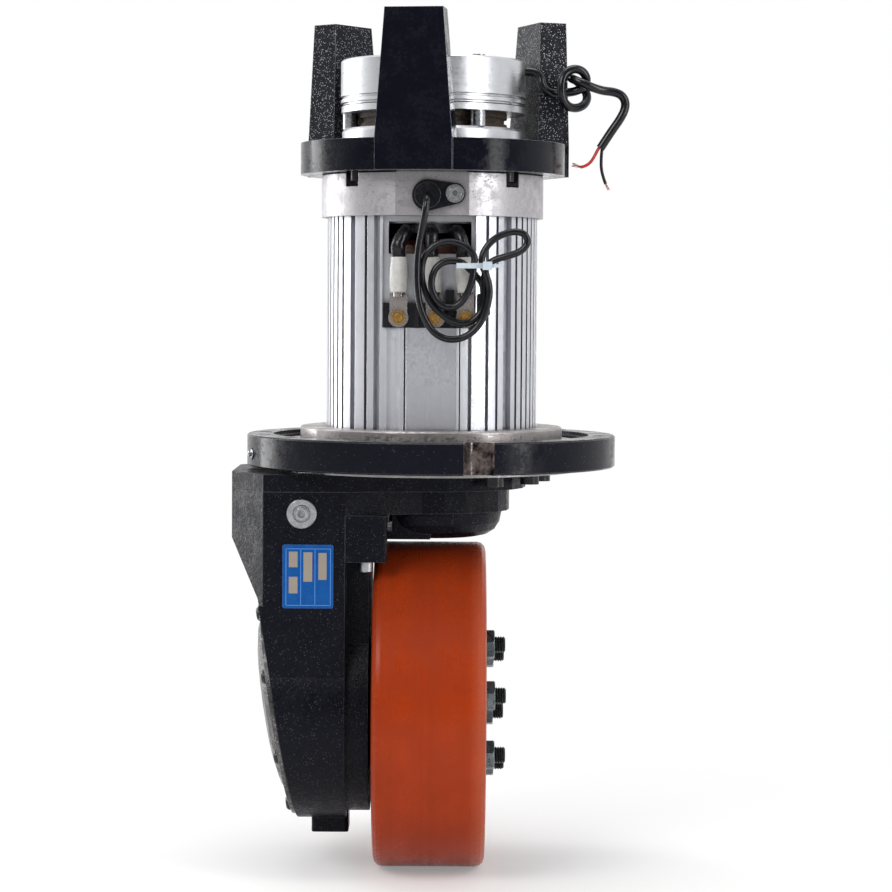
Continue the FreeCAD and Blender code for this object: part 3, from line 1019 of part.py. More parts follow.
def wheel_end():
    half = WHEEL_WIDTH / 2
    tyre_bore = WHEEL_RADIUS - TYRE_THICKNESS
    shoulder = TYRE_SHOULDER
    profile = [(tyre_bore, -half + RIM_INSET), (tyre_bore + 3, -half)]
    for side in (-1, 1):
        arc = []
        for step in range(4):
            angle = math.radians(90 * step / 3)
            arc.append((WHEEL_RADIUS - shoulder + shoulder * math.sin(angle),
                        half - shoulder + shoulder * math.cos(angle)))
        if side < 0:
            profile += [(radius, -x) for radius, x in arc]
        else:
            profile += list(reversed(arc))
    profile += [(tyre_bore + 3, half), (tyre_bore, half - RIM_INSET)]
    save("tyre", turned_on_axle(profile))

    rim = tyre_bore - RIM_WALL
    hub = turned_on_axle([
        (tyre_bore - FIT, -half + RIM_INSET), (tyre_bore - FIT, half - RIM_INSET),
        (rim, half - RIM_INSET), (rim - 3, DISC_FACE_X + 1.5),
        (HUB_PILOT_RADIUS + 32, DISC_FACE_X), (HUB_PILOT_RADIUS + FIT, DISC_FACE_X),
        (HUB_PILOT_RADIUS + FIT, DISC_INNER_X), (rim - 8, DISC_INNER_X), (rim, DISC_INNER_X - 8),
        (rim, -half + RIM_INSET),
    ])
    stud_z = AXLE_Z + STUD_CIRCLE / 2
    stud_hole = level_bar(STUD_RADIUS + SCREW_GAP, DISC_INNER_X - 1, DISC_FACE_X + 2, 0, stud_z)
    angles = even(STUD_COUNT, STUD_TURN)
    save("wheel_hub", hub.cut(around_axle(stud_hole, angles)))

    nut_face = DISC_FACE_X + SEAT_GAP
    shaft = turned_on_axle([
        (0, BEVEL_BACK_X - 12), (AXLE_RADIUS - 3, BEVEL_BACK_X - 12), (AXLE_RADIUS - 3, BEVEL_BACK_X),
        (AXLE_RADIUS, BEVEL_BACK_X), (AXLE_RADIUS, DRIVE_FLANGE_X - 3), (AXLE_RADIUS + 5, DRIVE_FLANGE_X - 3),
        (AXLE_RADIUS + 5, DRIVE_FLANGE_X), (DRIVE_FLANGE_RADIUS, DRIVE_FLANGE_X),
        (DRIVE_FLANGE_RADIUS, DISC_INNER_X), (HUB_PILOT_RADIUS, DISC_INNER_X),
        (HUB_PILOT_RADIUS, DISC_FACE_X + 2), (HUB_PILOT_RADIUS - 2, DISC_FACE_X + 4), (0, DISC_FACE_X + 4),
    ])
    flange_hole = level_bar(STUD_RADIUS + FIT, DRIVE_FLANGE_X - 1, DISC_INNER_X + 1, 0, stud_z)
    centre = level_bar(4.0, DISC_FACE_X - 4, DISC_FACE_X + 5)
    save("output_shaft", shaft.cut(around_axle(flange_hole, angles) + [centre]))

    stud = level_bar(STUD_RADIUS, DRIVE_FLANGE_X, STUD_END_X - 1, 0, stud_z)
    cone = Part.makeCone(STUD_RADIUS, STUD_RADIUS - 1, 1, V(STUD_END_X - 1, 0, stud_z), ALONG)
    save("wheel_studs", around_axle(stud.fuse(cone), angles))
    corner = NUT_FLATS / math.sqrt(3)
    nut = hexagon(NUT_FLATS, 0, NUT_HEIGHT).common(turned([
        (0, 0), (corner - 1.4, 0), (corner, 0.9), (corner, NUT_HEIGHT - 0.9), (corner - 1.4, NUT_HEIGHT),
        (0, NUT_HEIGHT)]))
    nut = nut.cut(bar(STUD_RADIUS + FIT, -1, NUT_HEIGHT + 1))
    nut = placed(nut, (nut_face, 0, stud_z), ALONG)
    save("wheel_nuts", around_axle(nut, angles))


# Bevel wheel on the axle
BEVEL_BACK_X = -91.0
BEVEL_HUB_X = -74.0


def bevel_wheel():
    back_height = PINION_X - BEVEL_BACK_X
    hub_height = PINION_X - BEVEL_HUB_X
    back = [(BEVEL_RADIUS + 1.0, back_height - 4), (BEVEL_RADIUS - 3, back_height)]
    bore = [(AXLE_RADIUS + FIT, back_height), (AXLE_RADIUS + FIT, hub_height), (33, hub_height)]
    addendum = 0.6 * BEVEL_MODULE
    dedendum = 1.3 * BEVEL_MODULE
    gear = bevel_gear(BEVEL_GEAR_TEETH, BEVEL_PINION_TEETH, addendum, dedendum, back, bore)
    gear.rotate(V(0, 0, 0), UP, 180.0 / BEVEL_GEAR_TEETH)
    gear.rotate(V(0, 0, 0), V(0, 1, 0), -90)
    gear.translate(V(PINION_X, 0, AXLE_Z))
    save("bevel_wheel", gear)
    lock = level_sleeve(AXLE_RADIUS + 8, AXLE_RADIUS - 3 + FIT, BEVEL_BACK_X - 10, BEVEL_BACK_X - SEAT_GAP)
    slot_z = AXLE_Z + AXLE_RADIUS + 4
    slot = box((BEVEL_BACK_X - 11, -3, slot_z), (BEVEL_BACK_X + 1, 3, slot_z + 5))
    save("axle_locknut", lock.cut(around_axle(slot, even(4))))


def bearings():
    motor_low = bearing(LOWER_BEARING_BORE, LOWER_BEARING_RADIUS, LOWER_BEARING_WIDTH)
    motor_high = bearing(UPPER_BEARING_BORE, UPPER_BEARING_RADIUS, UPPER_BEARING_WIDTH)
    pinion = bearing(PINION_SHAFT_RADIUS, PINION_BEARING_RADIUS, PINION_BEARING_WIDTH)
    axle = bearing(AXLE_RADIUS, AXLE_BEARING_RADIUS, AXLE_BEARING_WIDTH)
    motor_places = ((motor_low, LOWER_BEARING_Z), (motor_high, UPPER_BEARING_Z))
    axle_places = (GEAR_ROOM_RIGHT_X, NOSE_RIGHT_X - AXLE_BEARING_WIDTH - 6)
    save("motor_bearing_inners", [placed(rings[0], (0, 0, z)) for rings, z in motor_places])
    save("pinion_bearing_inners", [placed(pinion[0], (PINION_X, 0, z)) for z in PINION_BEARING_ZS])
    save("axle_bearing_inners", [placed(axle[0], (x, 0, AXLE_Z), ALONG) for x in axle_places])
    outers = [placed(rings[1], (0, 0, z)) for rings, z in motor_places]
    outers += [placed(pinion[1], (PINION_X, 0, z)) for z in PINION_BEARING_ZS]
    outers += [placed(axle[1], (x, 0, AXLE_Z), ALONG) for x in axle_places]
    save("bearing_outer_rings", outers)
    seal = level_sleeve(AXLE_BEARING_RADIUS - FIT, AXLE_RADIUS + BODY_GAP, NOSE_RIGHT_X - 6, NOSE_RIGHT_X)
    save("axle_seal", seal)


os.makedirs("parts", exist_ok=True)
slewing_ring()
flange_screws = motor_flange()
motor_frame()
motor_inside()
SHIELD_FACET_Y = top_shield()
terminals()
SENSOR_EXIT_Y = sensor(SHIELD_FACET_Y)
sensor_cable(SENSOR_EXIT_Y)
bracket()
brake()
brake_cable()
lid_screws = gearbox()
save("flange_screws", flange_screws + lid_screws)
housing_trim()
pinion_assembly()
wheel_end()
bevel_wheel()
bearings()
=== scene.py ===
"""Looks of a steerable drive wheel unit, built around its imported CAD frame."""

import json
import logging
import math
from dataclasses import dataclass, field
from enum import Enum
from typing import Callable, Sequence, Union

import bmesh
import bpy
from mathutils import Matrix, Vector, noise


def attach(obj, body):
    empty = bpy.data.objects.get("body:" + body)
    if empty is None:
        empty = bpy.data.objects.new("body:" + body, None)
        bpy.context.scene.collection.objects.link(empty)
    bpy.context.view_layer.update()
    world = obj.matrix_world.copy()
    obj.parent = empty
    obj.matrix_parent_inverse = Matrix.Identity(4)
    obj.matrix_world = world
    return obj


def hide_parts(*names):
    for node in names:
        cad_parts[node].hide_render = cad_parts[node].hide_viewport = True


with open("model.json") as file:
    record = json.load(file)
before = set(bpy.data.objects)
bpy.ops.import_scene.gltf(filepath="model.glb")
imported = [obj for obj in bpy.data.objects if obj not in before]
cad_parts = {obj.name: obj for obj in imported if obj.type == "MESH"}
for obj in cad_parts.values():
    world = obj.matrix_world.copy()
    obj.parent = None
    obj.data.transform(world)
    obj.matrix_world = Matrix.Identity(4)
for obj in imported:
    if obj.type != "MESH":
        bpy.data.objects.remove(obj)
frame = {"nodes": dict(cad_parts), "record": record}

LOG = logging.getLogger("drive_wheel")
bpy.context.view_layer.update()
MM = 0.001
FLOOR_Z = -0.307
AXLE_Z = -192.0
NUMBER = "NodeSocketFloat"
VECTOR = "NodeSocketVector"
MIX_VALUES = (0, 2, 3)
MIX_COLOURS = (0, 6, 7)

Point = tuple[float, float, float]
Socket = bpy.types.NodeSocket
Source = Union[Socket, float, int, tuple]


class Marks(Enum):
    """How the tool's lines run over a machined or drawn surface."""

    NONE = "none"
    TURNED_Z = "turned about the motor's axis"
    TURNED_X = "turned about the axle"
    DRAWN_Z = "drawn along the motor's axis"


def linear(red: int, green: int, blue: int) -> tuple[float, float, float, float]:
    """Turns an eight-bit screen colour into a linear one.

    Args:
        red: red from 0 to 255.
        green: green from 0 to 255.
        blue: blue from 0 to 255.

    Returns:
        The linear colour with an alpha of 1.
    """
    parts = []
    for value in (red, green, blue):
        share = value / 255
        parts.append(share / 12.92 if share <= 0.04045 else ((share + 0.055) / 1.055) ** 2.4)
    return (parts[0], parts[1], parts[2], 1.0)


def shade(colour: tuple, tone: float) -> tuple:
    """Gives a colour at a share of its brightness."""
    return tuple(tone * part for part in colour[:3]) + (1.0,)


def stand(name: str, data: bpy.types.ID) -> bpy.types.Object:
    """Puts a new object into the scene.

    Args:
        name: the object's name.
        data: its mesh, curve, lamp or camera.

    Returns:
        The object.
    """
    made = bpy.data.objects.new(name, data)
    bpy.context.scene.collection.objects.link(made)
    return made


def bridge(form: bmesh.types.BMesh, low: Sequence, high: Sequence) -> None:
    """Joins two rings of points with faces.

    Args:
        form: the bmesh that holds the points.
        low: the first ring.
        high: the second ring.
    """
    for step in range(len(low)):
        after = (step + 1) % len(low)
        form.faces.new((low[step], low[after], high[after], high[step]))


@dataclass(frozen=True)
class Zone:
    """A box of the surface that is left rough from the mould, or bare of paint. Sizes are in millimetres."""

    centre: tuple
    reach: tuple
    rough: bool = False
    bare: tuple = (0.2, 0.2, 0.2, 1.0)


@dataclass(frozen=True)
class Finish:
    """One surface finish.

    The colours are linear. Sizes and depths are in millimetres.
    """

    name: str
    colour: tuple
    patch: tuple
    roughness: float = 0.4
    roughness_spread: float = 0.1
    metallic: float = 0.0
    specular: float = 0.5
    patch_size: float = 12.0
    patch_share: float = 0.5
    marks: Marks = Marks.NONE
    mark_pitch: float = 0.4
    mark_depth: float = 0.0
    grain_size: float = 0.8
    grain_depth: float = 0.0
    lump_size: float = 6.0
    lump_depth: float = 0.0
    fleck: tuple = (1.0, 1.0, 1.0, 1.0)
    fleck_size: float = 0.9
    fleck_share: float = 0.0
    # edge colour: partly worn paint and bare metal, partly painted highlight; on the tyre it also paints the
    # shoulder sheen
    edge: tuple = (1.0, 1.0, 1.0, 1.0)
    edge_share: float = 0.0
    edge_radius: float = 0.5
    dust: float = 0.0
    zone: Union[Zone, None] = None
    banded: bool = False
    # how strongly painted shade darkens corners, grooves and sockets
    painted_shade: float = 0.45


class Graph:
    """Adds nodes to one node tree and joins them."""

    def __init__(self, tree: bpy.types.NodeTree) -> None:
        """Keeps the tree that the nodes go into."""
        self.tree = tree

    def node(self, kind: str, **settings: object) -> bpy.types.Node:
        """Adds a node.

        Args:
            kind: the node's type name.
            settings: attributes to set on it.

        Returns:
            The new node.
        """
        made = self.tree.nodes.new(kind)
        for name, value in settings.items():
            setattr(made, name, value)
        return made

    def feed(self, target: Socket, source: Source) -> None:
        """Links a socket to the target, or sets the target's own value.

        Args:
            target: the input socket.
            source: an output socket or a plain value.
        """
        if isinstance(source, bpy.types.NodeSocket):
            self.tree.links.new(source, target)
        else:
            target.default_value = source

    def math(self, operation: str, first: Source, second: Source = 0.0, clamp: bool = False) -> Socket:
        """Adds a Math node.

        Args:
            operation: the node's operation.
            first: its first value.
            second: its second value.
            clamp: True to keep the result from 0 to 1.

        Returns:
            The result's socket.
        """
        made = self.node("ShaderNodeMath", operation=operation, use_clamp=clamp)
        self.feed(made.inputs[0], first)
        self.feed(made.inputs[1], second)
        return made.outputs[0]

    def times(self, first: Source, second: Source) -> Socket:
        """Multiplies two values."""
        return self.math("MULTIPLY", first, second)

    def plus(self, first: Source, second: Source, clamp: bool = False) -> Socket:
        """Adds two values, and keeps the sum from 0 to 1 if clamp is True."""
        return self.math("ADD", first, second, clamp)

    def diagonal(self, first: Source, second: Source) -> Socket:
        """Gives the diagonal over two sides."""
        return self.math("SQRT", self.plus(self.math("POWER", first, 2.0), self.math("POWER", second, 2.0)))

    def vector(self, operation: str, first: Source, second: Source = (0.0, 0.0, 0.0)) -> bpy.types.Node:
        """Adds a Vector Math node.

        Args:
            operation: the node's operation.
            first: its first vector.
            second: its second vector.

        Returns:
            The node.
        """
        made = self.node("ShaderNodeVectorMath", operation=operation)
        self.feed(made.inputs[0], first)
        self.feed(made.inputs[1], second)
        return made

    def span(self, value: Source, low: Source, high: Source, start: Source = 0.0, end: Source = 1.0) -> Socket:
        """Maps a value smoothly from one range to another.

        Args:
            value: the value.
            low: where the first range starts.
            high: where the first range ends.
            start: the result at low.
            end: the result at high.

        Returns:
            The result's socket.
        """
        made = self.node("ShaderNodeMapRange", interpolation_type="SMOOTHSTEP")
        for index, source in enumerate((value, low, high, start, end)):
            self.feed(made.inputs[index], source)
        return made.outputs[0]

    def mix(self, kind: str, sockets: Sequence[int], sources: Sequence[Source]) -> bpy.types.Node:
        """Adds a Mix node.

        Args:
            kind: the type of data that it mixes.
            sockets: which of its inputs are fed.
            sources: what they get.

        Returns:
            The node.
        """
        made = self.node("ShaderNodeMix", data_type=kind)
        for index, source in zip(sockets, sources):
            self.feed(made.inputs[index], source)
        return made

    def blend(self, share: Source, first: Source, second: Source) -> Socket:
        """Mixes two colours, by the share of the second one."""
        return self.mix("RGBA", MIX_COLOURS, (share, first, second)).outputs[2]

    def choose(self, share: Source, first: Source, second: Source) -> Socket:
        """Mixes two values, by the share of the second one."""
        return self.mix("FLOAT", MIX_VALUES, (share, first, second)).outputs[0]

    def split(self, whole: Source) -> list[Socket]:
        """Splits a vector.

        Args:
            whole: the vector.

        Returns:
            The sockets of its X, Y and Z.
        """
        made = self.node("ShaderNodeSeparateXYZ")
        self.feed(made.inputs[0], whole)
        return list(made.outputs)

    def join(self, *parts: Source) -> Socket:
        """Joins values into a vector.

        Args:
            parts: its X, Y and Z, where what is left out is 0.

        Returns:
            The vector's socket.
        """
        made = self.node("ShaderNodeCombineXYZ")
        for socket, part in zip(made.inputs, parts):
            self.feed(socket, part)
        return made.outputs[0]

    def seen(self) -> Socket:
        """Tells the rays by which a thing is seen, also in gloss and through glass, from those that light.

        Returns:
            A socket with 1 for camera, glossy and transmission rays, and 0 for the rest.
        """
        rays = self.node("ShaderNodeLightPath").outputs
        mirrored = self.plus(rays["Is Glossy Ray"], rays["Is Transmission Ray"])
        return self.plus(rays["Is Camera Ray"], mirrored, True)

    def cloud(self, place: Source, scale: Source, detail: float = 3.0) -> Socket:
        """Adds a noise texture.

        Args:
            place: the coordinates.
            scale: how many cells there are in one unit.
            detail: how many octaves there are.

        Returns:
            The noise value's socket.
        """
        made = self.node("ShaderNodeTexNoise")
        self.feed(made.inputs["Vector"], place)
        self.feed(made.inputs["Scale"], scale)
        made.inputs["Detail"].default_value = detail
        return made.outputs[0]

    def group(self, tree: bpy.types.NodeTree, **values: Source) -> bpy.types.Node:
        """Places a node group.

        Args:
            tree: the group's tree.
            values: what its inputs get, by name, with _ for a space.

        Returns:
            The group's node.
        """
        made = self.node("ShaderNodeGroup", node_tree=tree)
        for name, value in values.items():
            self.feed(made.inputs[name.replace("_", " ")], value)
        return made


class Effects:
    """The shader node groups that several materials share, each built once."""

    def __init__(self) -> None:
        """Builds every group."""
        self.place = self._place()
        self.patches = self._patches()
        self.skin = self._skin()
        self.lines = self._lines()
        self.flecks = self._flecks()
        self.edges = self._edges()
        self.dust = self._dust()
        self.bands = self._bands()
        self.zone = self._zone()
        self.crevice_shade = self._crevice_shade()

    def _start(self, name: str, inputs: dict, outputs: dict) -> tuple[Graph, dict, dict]:
        """Starts a group.

        Args:
            name: the group's name.
            inputs: socket kinds by input name.
            outputs: socket kinds by output name.

        Returns:
            The graph, the input sockets by name and the output sockets by name.
        """
        tree = bpy.data.node_groups.new(name, "ShaderNodeTree")
        for way, sockets in (("INPUT", inputs), ("OUTPUT", outputs)):
            for label, kind in sockets.items():
                tree.interface.new_socket(label, in_out=way, socket_type=kind)
        graph = Graph(tree)
        given = graph.node("NodeGroupInput")
        result = graph.node("NodeGroupOutput")
        return graph, {s.name: s for s in given.outputs if s.name}, {s.name: s for s in result.inputs if s.name}

    def _place(self) -> bpy.types.NodeTree:
        """Builds the group for a point's place in millimetres, also as a tool that turns or draws sees it.

        Returns:
            The group.
        """
        graph, given, out = self._start(
            "place", {"About Axle": NUMBER}, {"Place": VECTOR, "Turned": VECTOR, "Drawn": VECTOR})
        millimetres = graph.vector("SCALE", graph.node("ShaderNodeTexCoord").outputs["Object"])
        millimetres.inputs["Scale"].default_value = 1.0 / MM
        east, north, up = graph.split(millimetres.outputs[0])
        about_z = graph.diagonal(east, north)
        about_x = graph.diagonal(north, graph.math("SUBTRACT", up, AXLE_Z))
        graph.feed(out["Place"], millimetres.outputs[0])
        graph.feed(out["Turned"], graph.join(graph.choose(given["About Axle"], about_z, about_x),
                                             graph.choose(given["About Axle"], up, east)))
        stretch = 0.02
        graph.feed(out["Drawn"], graph.join(east, north, graph.times(up, stretch)))
        return graph.tree

    def _patches(self) -> bpy.types.NodeTree:
        """Builds the group for slow changes of tone and the smears within them.

        Returns:
            The group.
        """
        graph, given, out = self._start(
            "tone patches", {"Place": VECTOR, "Size": NUMBER}, {"Patch": NUMBER, "Smear": NUMBER})
        scale = graph.math("DIVIDE", 1.0, given["Size"])
        finer = 5.0
        broad = graph.cloud(given["Place"], scale, detail=4.0)
        fine = graph.cloud(given["Place"], graph.times(scale, finer), detail=5.0)
        graph.feed(out["Patch"], graph.span(broad, low=0.32, high=0.68))
        graph.feed(out["Smear"], graph.span(graph.plus(broad, fine), low=0.75, high=1.25))
        return graph.tree

    def _skin(self) -> bpy.types.NodeTree:
        """Builds the group for a cast, moulded or sprayed skin.

        Returns:
            The group.
        """
        graph, given, out = self._start(
            "skin", {"Place": VECTOR, "Grain": NUMBER, "Grain Depth": NUMBER, "Lump": NUMBER,
                     "Lump Depth": NUMBER}, {"Height": NUMBER})
        grain = graph.cloud(given["Place"], graph.math("DIVIDE", 1.0, given["Grain"]), detail=3.0)
        lump = graph.cloud(given["Place"], graph.math("DIVIDE", 1.0, given["Lump"]), detail=2.0)
        graph.feed(out["Height"], graph.plus(graph.times(grain, given["Grain Depth"]),
                                             graph.times(lump, given["Lump Depth"])))
        return graph.tree

    def _lines(self) -> bpy.types.NodeTree:
        """Builds the group for a tool's fine lines.

        Returns:
            The group.
        """
        graph, given, out = self._start(
            "tool lines", {"Along": VECTOR, "Pitch": NUMBER}, {"Height": NUMBER, "Streak": NUMBER})
        scale = graph.math("DIVIDE", 1.0, given["Pitch"])
        coarser = 0.13
        fine = graph.cloud(given["Along"], scale, detail=2.0)
        broad = graph.cloud(given["Along"], graph.times(scale, coarser), detail=2.0)
        graph.feed(out["Height"], fine)
        graph.feed(out["Streak"], graph.span(graph.plus(fine, broad), low=0.8, high=1.2))
        return graph.tree

    def _flecks(self) -> bpy.types.NodeTree:
        """Builds the group for small bright or dark flecks.

        Returns:
            The group.
        """
        graph, given, out = self._start(
            "flecks", {"Place": VECTOR, "Size": NUMBER, "Share": NUMBER}, {"Fleck": NUMBER})
        cells = graph.node("ShaderNodeTexVoronoi", feature="F1")
        graph.feed(cells.inputs["Vector"], given["Place"])
        graph.feed(cells.inputs["Scale"], graph.math("DIVIDE", 1.0, given["Size"]))
        lot = graph.node("ShaderNodeSeparateColor")
        graph.feed(lot.inputs[0], cells.outputs["Color"])
        chosen = graph.math("LESS_THAN", lot.outputs[0], given["Share"])
        graph.feed(out["Fleck"], graph.times(chosen, graph.span(cells.outputs["Distance"], low=0.5, high=0.28)))
        return graph.tree

    def _edges(self) -> bpy.types.NodeTree:
        """Builds the group for rounded edges and the edge tint mask, which is partly wear and partly painted
        highlight.

        Returns:
            The group.
        """
        graph, given, out = self._start(
            "edges", {"Place": VECTOR, "Radius": NUMBER}, {"Normal": VECTOR, "Wear And Highlight": NUMBER})
        rounded = graph.node("ShaderNodeBevel", samples=4)
        graph.feed(rounded.inputs["Radius"], graph.times(given["Radius"], MM))
        plain = graph.node("ShaderNodeNewGeometry").outputs["Normal"]
        same = graph.vector("DOT_PRODUCT", rounded.outputs[0], plain).outputs["Value"]
        # edge tint mask: partly real wear, partly painted highlight along edges
        turn = graph.math("SUBTRACT", 1.0, same, True)
        least_edge_tint = 0.4
        edge_tint_noise = graph.plus(graph.cloud(given["Place"], scale=0.7, detail=4.0), least_edge_tint)
        graph.feed(out["Wear And Highlight"], graph.span(graph.times(turn, edge_tint_noise), low=0.03, high=0.14))
        graph.feed(out["Normal"], rounded.outputs[0])
        return graph.tree

    def _dust(self) -> bpy.types.NodeTree:
        """Builds the group for dust on faces that look up.

        Returns:
            The group.
        """
        graph, given, out = self._start("dust", {"Place": VECTOR, "Amount": NUMBER}, {"Dust": NUMBER})
        facing = graph.split(graph.node("ShaderNodeTexCoord").outputs["Normal"])
        up = graph.span(facing[2], low=0.1, high=0.95)
        speckle = graph.span(graph.cloud(given["Place"], scale=0.9, detail=6.0), low=0.38, high=0.68)
        graph.feed(out["Dust"], graph.times(graph.times(up, speckle), given["Amount"]))
        return graph.tree

    def _bands(self) -> bpy.types.NodeTree:
        """Builds the group for the broad rings that turning leaves in a tread, and for a painted sheen on its
        outer shoulder.

        Returns:
            The group.
        """
        graph, given, out = self._start("tread bands", {"Turned": VECTOR}, {"Band": NUMBER, "Shoulder Sheen": NUMBER})
        wave = graph.cloud(given["Turned"], scale=0.16, detail=3.0)
        graph.feed(out["Band"], graph.span(wave, low=0.35, high=0.65))
        # painted sheen on the tread's outer shoulder
        graph.feed(out["Shoulder Sheen"], graph.span(graph.split(given["Turned"])[1], low=26.0, high=37.0))
        return graph.tree

    def _zone(self) -> bpy.types.NodeTree:
        """Builds the group that marks what lies inside a box.

        Returns:
            The group.
        """
        graph, given, out = self._start(
            "zone", {"Place": VECTOR, "Centre": VECTOR, "Reach": VECTOR}, {"Inside": NUMBER})
        away = graph.vector("SUBTRACT", given["Place"], given["Centre"])
        size = graph.vector("ABSOLUTE", away.outputs[0])
        room = graph.split(graph.vector("SUBTRACT", given["Reach"], size.outputs[0]).outputs[0])
        least = graph.math("MINIMUM", graph.math("MINIMUM", room[0], room[1]), room[2])
        graph.feed(out["Inside"], graph.span(least, low=0.0, high=0.4))
        return graph.tree

    def _crevice_shade(self) -> bpy.types.NodeTree:
        """Builds the group for the painted shade in corners, grooves and sockets, taken from ambient occlusion.

        Returns:
            The group.
        """
        graph, given, out = self._start("crevice_shade", {"Amount": NUMBER}, {"Painted Shade": NUMBER})
        near = graph.node("ShaderNodeAmbientOcclusion", samples=4)
        near.inputs["Distance"].default_value = 4 * MM
        hidden = graph.span(near.outputs["AO"], low=0.92, high=0.25)
        graph.feed(out["Painted Shade"], graph.times(hidden, given["Amount"]))
        return graph.tree


class Paintshop:
    """Makes each finish's material once. The shares say how strongly an effect shows where it is full."""

    dust_grey: tuple = linear(150, 148, 146)
    dust_roughness: float = 0.35
    # dark brown of the painted shade in corners, grooves and sockets
    painted_shade_brown: tuple = linear(18, 16, 16)
    streak_tone: float = 0.8
    streak_share: float = 0.35
    streak_roughness: float = 0.06
    band_tone: float = 0.72
    # how strongly the painted sheen shows on the tyre's outer shoulder
    band_share: float = 0.4
    band_roughness: float = 0.08
    shoulder_sheen_share: float = 0.3
    raw_grain_depth: float = 0.3
    raw_roughness: float = 0.2
    least_roughness: float = 0.02

    def __init__(self) -> None:
        """Builds the shared effects."""
        self.effects = Effects()
        self.made: dict[str, bpy.types.Material] = {}

    def material(self, finish: Finish) -> bpy.types.Material:
        """Gives a finish's material.

        Args:
            finish: the finish.

        Returns:
            Its material, built on the first call.
        """
        if finish.name not in self.made:
            self.made[finish.name] = self._build(finish)
        return self.made[finish.name]

    def _build(self, finish: Finish) -> bpy.types.Material:
        """Builds a material from a finish.

        Args:
            finish: the finish.

        Returns:
            The material.
        """
        material = bpy.data.materials.new(finish.name)
        material.use_nodes = True
        graph = Graph(material.node_tree)
        shader = material.node_tree.nodes["Principled BSDF"]
        place = graph.group(self.effects.place, About_Axle=1.0 if finish.marks is Marks.TURNED_X else 0.0)
        spot = place.outputs["Place"]
        tone = graph.group(self.effects.patches, Place=spot, Size=finish.patch_size)
        colour = graph.blend(graph.times(tone.outputs["Patch"], finish.patch_share),
                             finish.colour, finish.patch)
        rough = graph.span(tone.outputs["Smear"], 0.0, 1.0,
                           start=max(finish.roughness - finish.roughness_spread, self.least_roughness),
                           end=min(finish.roughness + finish.roughness_spread, 1.0))
        grain_depth = finish.grain_depth
        fleck_share = finish.fleck_share
        if finish.zone:
            inside = graph.group(self.effects.zone, Place=spot, Centre=finish.zone.centre,
                                 Reach=finish.zone.reach).outputs["Inside"]
            if finish.zone.rough:
                grain_depth = graph.span(inside, 0.0, 1.0, start=finish.grain_depth, end=self.raw_grain_depth)
                # the rough zone gets coarser grain and more painted glints
                fleck_share = graph.times(inside, finish.fleck_share)
                rough = graph.plus(rough, graph.times(inside, self.raw_roughness))
        skin = graph.group(self.effects.skin, Place=spot, Grain=finish.grain_size, Grain_Depth=grain_depth,
                           Lump=finish.lump_size, Lump_Depth=finish.lump_depth)
        height = skin.outputs["Height"]
        if finish.marks is not Marks.NONE:
            along = place.outputs["Drawn" if finish.marks is Marks.DRAWN_Z else "Turned"]
            lines = graph.group(self.effects.lines, Along=along, Pitch=finish.mark_pitch)
            streak = lines.outputs["Streak"]
            height = graph.plus(height, graph.times(lines.outputs["Height"], finish.mark_depth))
            colour = graph.blend(graph.times(streak, self.streak_share), colour,
                                 shade(finish.colour, self.streak_tone))
            rough = graph.plus(rough, graph.times(streak, self.streak_roughness))
        if finish.fleck_share > 0:
            fleck = graph.group(self.effects.flecks, Place=spot, Size=finish.fleck_size, Share=fleck_share)
            colour = graph.blend(fleck.outputs["Fleck"], colour, finish.fleck)
        # painted shade: corners, grooves and sockets darkened toward dark brown
        painted_shade = graph.group(self.effects.crevice_shade, Amount=finish.painted_shade).outputs["Painted Shade"]
        colour = graph.blend(painted_shade, colour, self.painted_shade_brown)
        edges = graph.group(self.effects.edges, Place=spot, Radius=finish.edge_radius)
        # edge tint: partly wear, partly painted highlight
        if finish.edge_share > 0:
            colour = graph.blend(graph.times(edges.outputs["Wear And Highlight"], finish.edge_share), colour, finish.edge)
        if finish.banded:
            tread = graph.group(self.effects.bands, Turned=place.outputs["Turned"]).outputs
            colour = graph.blend(graph.times(tread["Band"], self.band_share), colour,
                                 shade(finish.colour, self.band_tone))
            # painted sheen: the tyre's outer shoulder lightened toward the edge colour
            colour = graph.blend(graph.times(tread["Shoulder Sheen"], self.shoulder_sheen_share), colour, finish.edge)
            rough = graph.plus(rough, graph.times(tread["Band"], self.band_roughness))
        if finish.dust > 0:
            dust = graph.group(self.effects.dust, Place=spot, Amount=finish.dust).outputs["Dust"]
            colour = graph.blend(dust, colour, self.dust_grey)
            rough = graph.plus(rough, graph.times(dust, self.dust_roughness), True)
        shader.inputs["Metallic"].default_value = finish.metallic
        if finish.zone and not finish.zone.rough:
            bare = graph.blend(tone.outputs["Smear"], finish.zone.bare, finish.colour)
            colour = graph.blend(inside, colour, bare)
            graph.feed(shader.inputs["Metallic"], graph.times(inside, tone.outputs["Patch"]))
        graph.feed(shader.inputs["Base Color"], colour)
        graph.feed(shader.inputs["Roughness"], rough)
        shader.inputs["Specular IOR Level"].default_value = finish.specular
        bump = graph.node("ShaderNodeBump")
        bump.inputs["Distance"].default_value = MM
        bump.inputs["Strength"].default_value = 1.0
        graph.feed(bump.inputs["Height"], height)
        graph.feed(bump.inputs["Normal"], edges.outputs["Normal"])
        graph.feed(shader.inputs["Normal"], bump.outputs[0])
        return material


STEEL_WHITE = linear(214, 214, 216)

# its light flecks are painted glints
RING_BLACK = Finish("ring_black", linear(11, 12, 22), linear(16, 17, 27), roughness=0.22, specular=0.13,
                    grain_size=0.9, grain_depth=0.006, lump_depth=0.03, fleck=linear(90, 90, 98),
                    fleck_size=0.6, fleck_share=0.012, edge=linear(120, 120, 128), edge_share=0.8,
                    dust=0.12,
                    zone=Zone((32.5, -126.0, -11.0), (10.4, 12.0, 30.0), bare=linear(104, 94, 90)))
